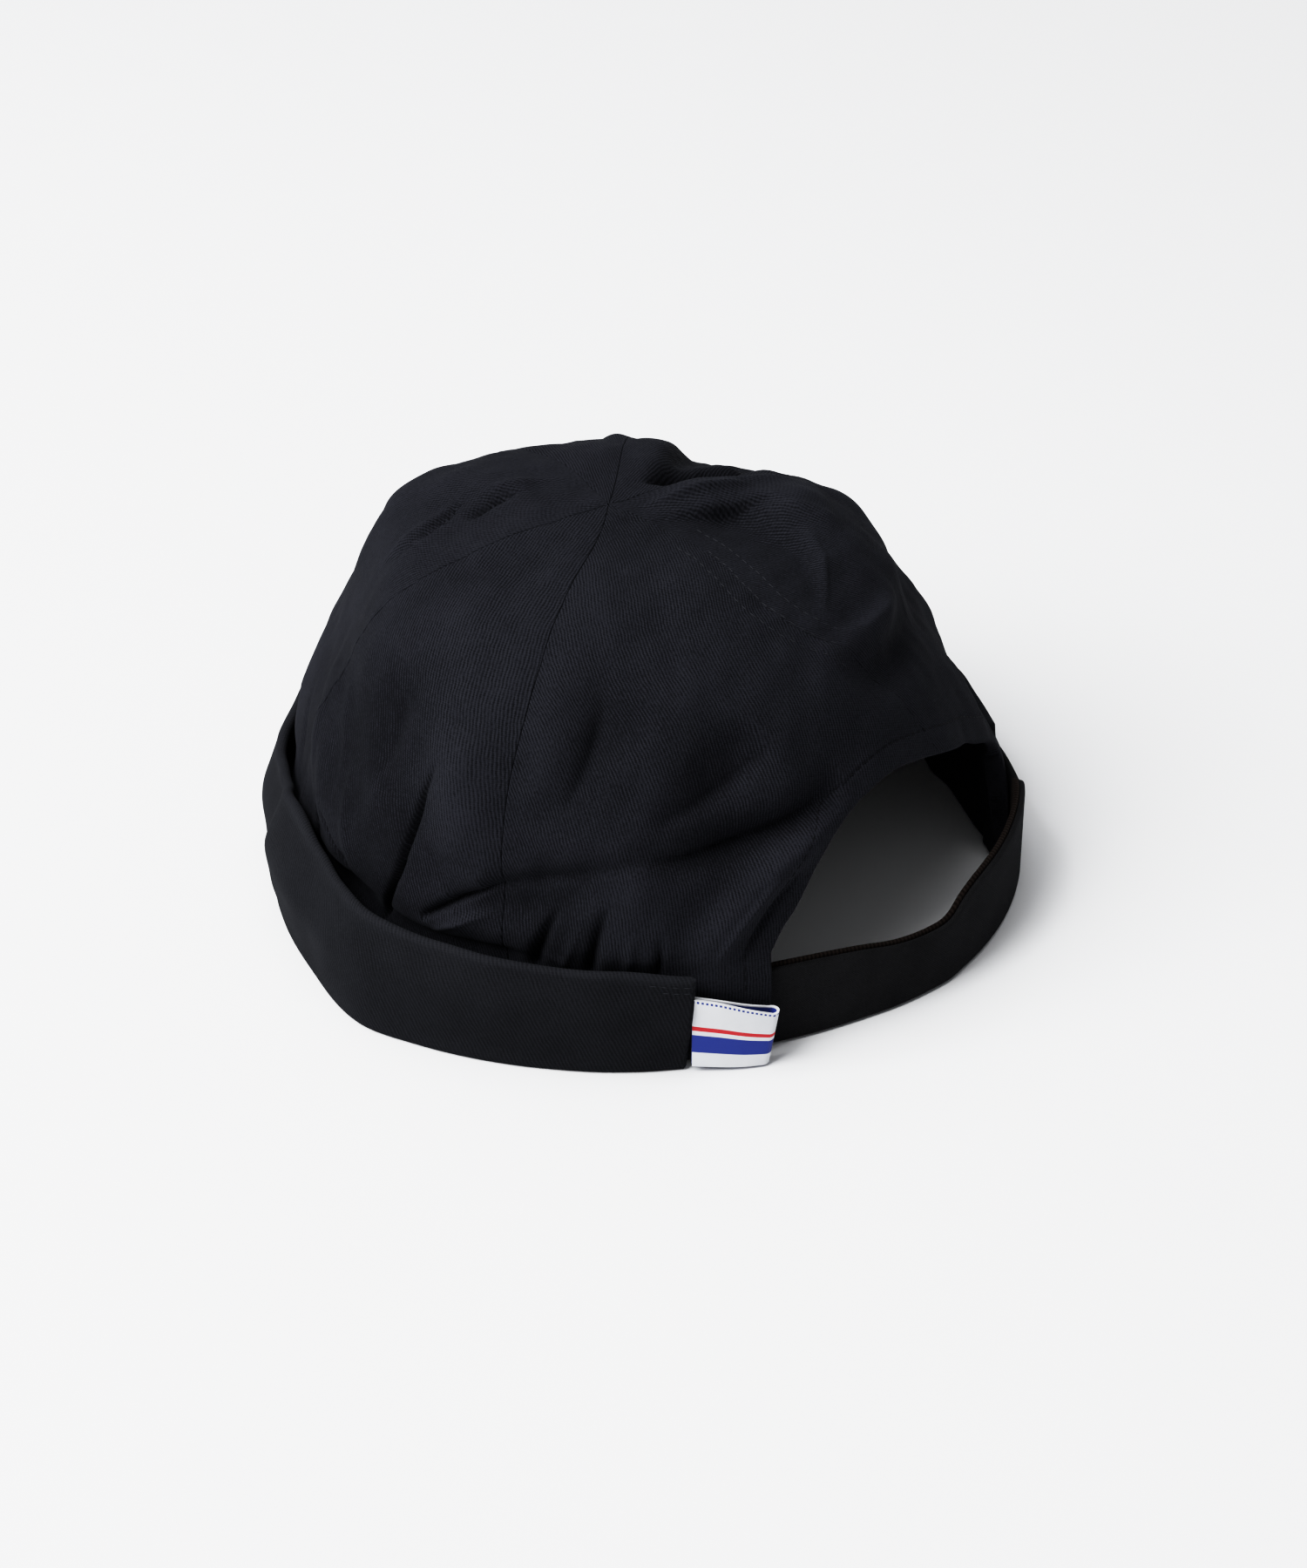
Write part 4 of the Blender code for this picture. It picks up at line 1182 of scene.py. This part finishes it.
def hem_row(inset):
    """A line of points round the opening, that far in from its edge."""
    line = ARCH_LINE[16:-16]
    scale = np.array([radians(1.0) * HEAD_RADIUS, MERIDIAN])
    metric = line * scale
    ahead = np.gradient(metric, axis=0)
    out = unit(np.stack([-ahead[:, 1], ahead[:, 0]], axis=-1))
    moved = (metric + out * inset) / scale
    moved = moved[moved[:, 1] > 0.05]
    return surface_point(moved[:, 0], moved[:, 1], 0.00004)


def cuff_row(share, first, last):
    """A line of points along the cuff's outside at a share of its height."""
    line = []
    for angle in np.linspace(first, last, 40):
        height = share * cuff_height(angle)
        outside = np.array(cuff_profile(angle)[6:6 + CUFF_CLIMB])
        radius = float(np.interp(height, outside[:, 1], outside[:, 0])) + 0.00005
        line.append(place_ring(angle, ((radius, height),))[0])
    return np.array(line)


def make_camera():
    """Camera where the photograph was taken from."""
    turn, tilt = radians(CAMERA_TURN), radians(CAMERA_TILT)
    flat = cos(tilt)
    back = Vector((sin(turn) * flat, -cos(turn) * flat, sin(tilt)))
    right = Vector((cos(turn), sin(turn), 0.0))
    up = back.cross(right)
    aside, below = (aim - 0.5 * size for aim, size in zip(CAMERA_AIM, FRAME))
    place = Vector((*PLAN_CENTRE, 0.0)) + back * CAMERA_DISTANCE
    place -= right * aside * CAMERA_DISTANCE / CAMERA_FOCUS
    place += up * below * CAMERA_DISTANCE / CAMERA_FOCUS
    lens = bpy.data.cameras.new("camera")
    lens.sensor_fit = "VERTICAL"
    lens.sensor_height = 36.0
    lens.lens = CAMERA_FOCUS * lens.sensor_height / FRAME[1]
    lens.clip_start = 0.01
    camera = link("camera", lens)
    camera.matrix_world = Matrix((right, up, back)).transposed().to_4x4()
    camera.location = place
    bpy.context.scene.camera = camera
    return right, back


def area_light(name, place, target, size, power, colour=(1.0, 1.0, 1.0)):
    """Square soft light aimed at a point."""
    lamp = bpy.data.lights.new(name, "AREA")
    lamp.shape = "RECTANGLE"
    lamp.size = lamp.size_y = size
    lamp.energy = power
    lamp.color = colour
    light = link(name, lamp)
    light.location = place
    light.rotation_euler = (Vector(target) - place).to_track_quat("-Z", "Y").to_euler()


def make_floor():
    """Pale paper floor, which isn't part of the cap."""
    half = 6.0
    corners = [(-half, -half, 0.0), (half, -half, 0.0), (half, half, 0.0), (-half, half, 0.0)]
    mesh = bpy.data.meshes.new("floor")
    mesh.from_pydata(corners, [], [(0, 1, 2, 3)])
    paper = bpy.data.materials.new("pale_floor")
    paper.use_nodes = True
    nodes = Nodes(paper.node_tree)
    shader = paper.node_tree.nodes["Principled BSDF"]
    grain = nodes.noise(nodes.object_place(), 40.0, 3.0)
    pale = nodes.mix(grain, (0.795, 0.803, 0.820, 1.0), (0.815, 0.823, 0.840, 1.0))
    nodes.feed(shader.inputs["Base Color"], pale)
    shader.inputs["Roughness"].default_value = 0.9
    shader.inputs["Specular IOR Level"].default_value = 0.1
    mesh.materials.append(paper)
    link("floor", mesh)


def make_lights(right, back):
    """Soft key from the left, a weak one from above and a bright room."""
    world = bpy.data.worlds.new("room")
    bpy.context.scene.world = world
    world.use_nodes = True
    sky = world.node_tree.nodes["Background"]
    sky.inputs["Color"].default_value = (0.985, 0.99, 1.0, 1.0)
    sky.inputs["Strength"].default_value = 0.19
    away = Vector((-back.x, -back.y, 0.0)).normalized()
    key = -right * 0.93 - away * 0.45 + Vector((0.0, 0.0, 1.16))
    area_light("key_light", key, (0.0, 0.0, 0.05), 1.1, 26.5, (1.0, 0.998, 0.99))
    top = -right * 0.25 + away * 0.35 + Vector((0.0, 0.0, 1.5))
    area_light("top_light", top, (0.0, 0.0, 0.0), 1.6, 8.0)


def set_exposure():
    """The picture's brightness as the TONE table gives it."""
    view = bpy.context.scene.view_settings
    view.view_transform = "Standard"
    view.look = "None"
    view.exposure = 0.0
    view.use_curve_mapping = True
    tone = view.curve_mapping.curves[3].points
    tone[0].location, tone[1].location = (0.0, 0.0), (1.0, TONE_TOP)
    for light, shown in TONE:
        tone.new(light, shown)
    view.curve_mapping.update()


def stand_for(piece, node):
    """Let a finished piece ride on the cap and stand for its CAD node."""
    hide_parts(node)
    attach(piece, "root")


right, back = make_camera()
make_floor()
make_lights(right, back)
set_exposure()

# The crown's cloth carries a patch of painted shade of strength 0.32
twill = twill_material("black_twill_cloth", (0.0108, 0.0112, 0.0142), 0.00076, 0.0, 2.4, 0.32)
cuff_twill = twill_material("black_twill_cuff", (0.0104, 0.0108, 0.0128), 0.00084, 20.0, 1.15)
light_thread = thread_material("grey_thread", (0.027, 0.028, 0.033))
dark_thread = thread_material("black_thread", (0.0060, 0.0062, 0.0074))

cuff = make_cuff(cuff_twill)
stand_for(cuff, "cuff")

for name, start, end, count, rows, grain in PANELS:
    panel = crown_panel(name, start, end, count, rows, grain, twill)
    stand_for(panel, f"crown_panel_{name}")
    span = radians(float((seam_angle(end, 0.0) - seam_angle(start, 0.0))[0]) % 360.0)

first, last = STRAP_SECTIONS[0][0], STRAP_SECTIONS[-1][0]
outer_strap = strap_layer("strap_outer_cloth", first, last, 180, webbing_material())
stand_for(outer_strap, "strap_outer")
inset = STRAP_WALL + STRAP_LAYER_GAP
inner_strap = strap_layer(
    "strap_inner_binding", *INNER_STRAP, 160, binding_material(), inset, STRAP_LIP
)
stand_for(inner_strap, "strap_inner")

label = make_label(label_material())
stand_for(label, "label")

tree = stitch_tree()
back_rows = [
    seam_rows("back", -0.0050, 0.62, 0.90),
    seam_rows("back", 0.0062, 0.675, 0.915),
    seam_rows("back", 0.0005, 0.66, 0.88),
]
cuff_rows = [cuff_row(0.945, 36.4, 41.2), cuff_row(0.885, 38.2, 41.2)]
hem_rows = [hem_row(HEM_WIDTH - HEM_STITCH_INSET)]
for name, lines, pitch, length, radius, thread in (
    ("back_seam_stitches", back_rows, 0.0028, 0.0018, 0.00011, light_thread),
    ("cuff_end_stitches", cuff_rows, 0.0024, 0.0016, 0.00012, light_thread),
    ("hem_stitches", hem_rows, 0.0026, 0.0018, 0.00013, dark_thread),
):
    stitches = stitch_rows(name, lines, tree, pitch, length, radius, thread)
    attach(stitches, "root")

bpy.context.view_layer.update()
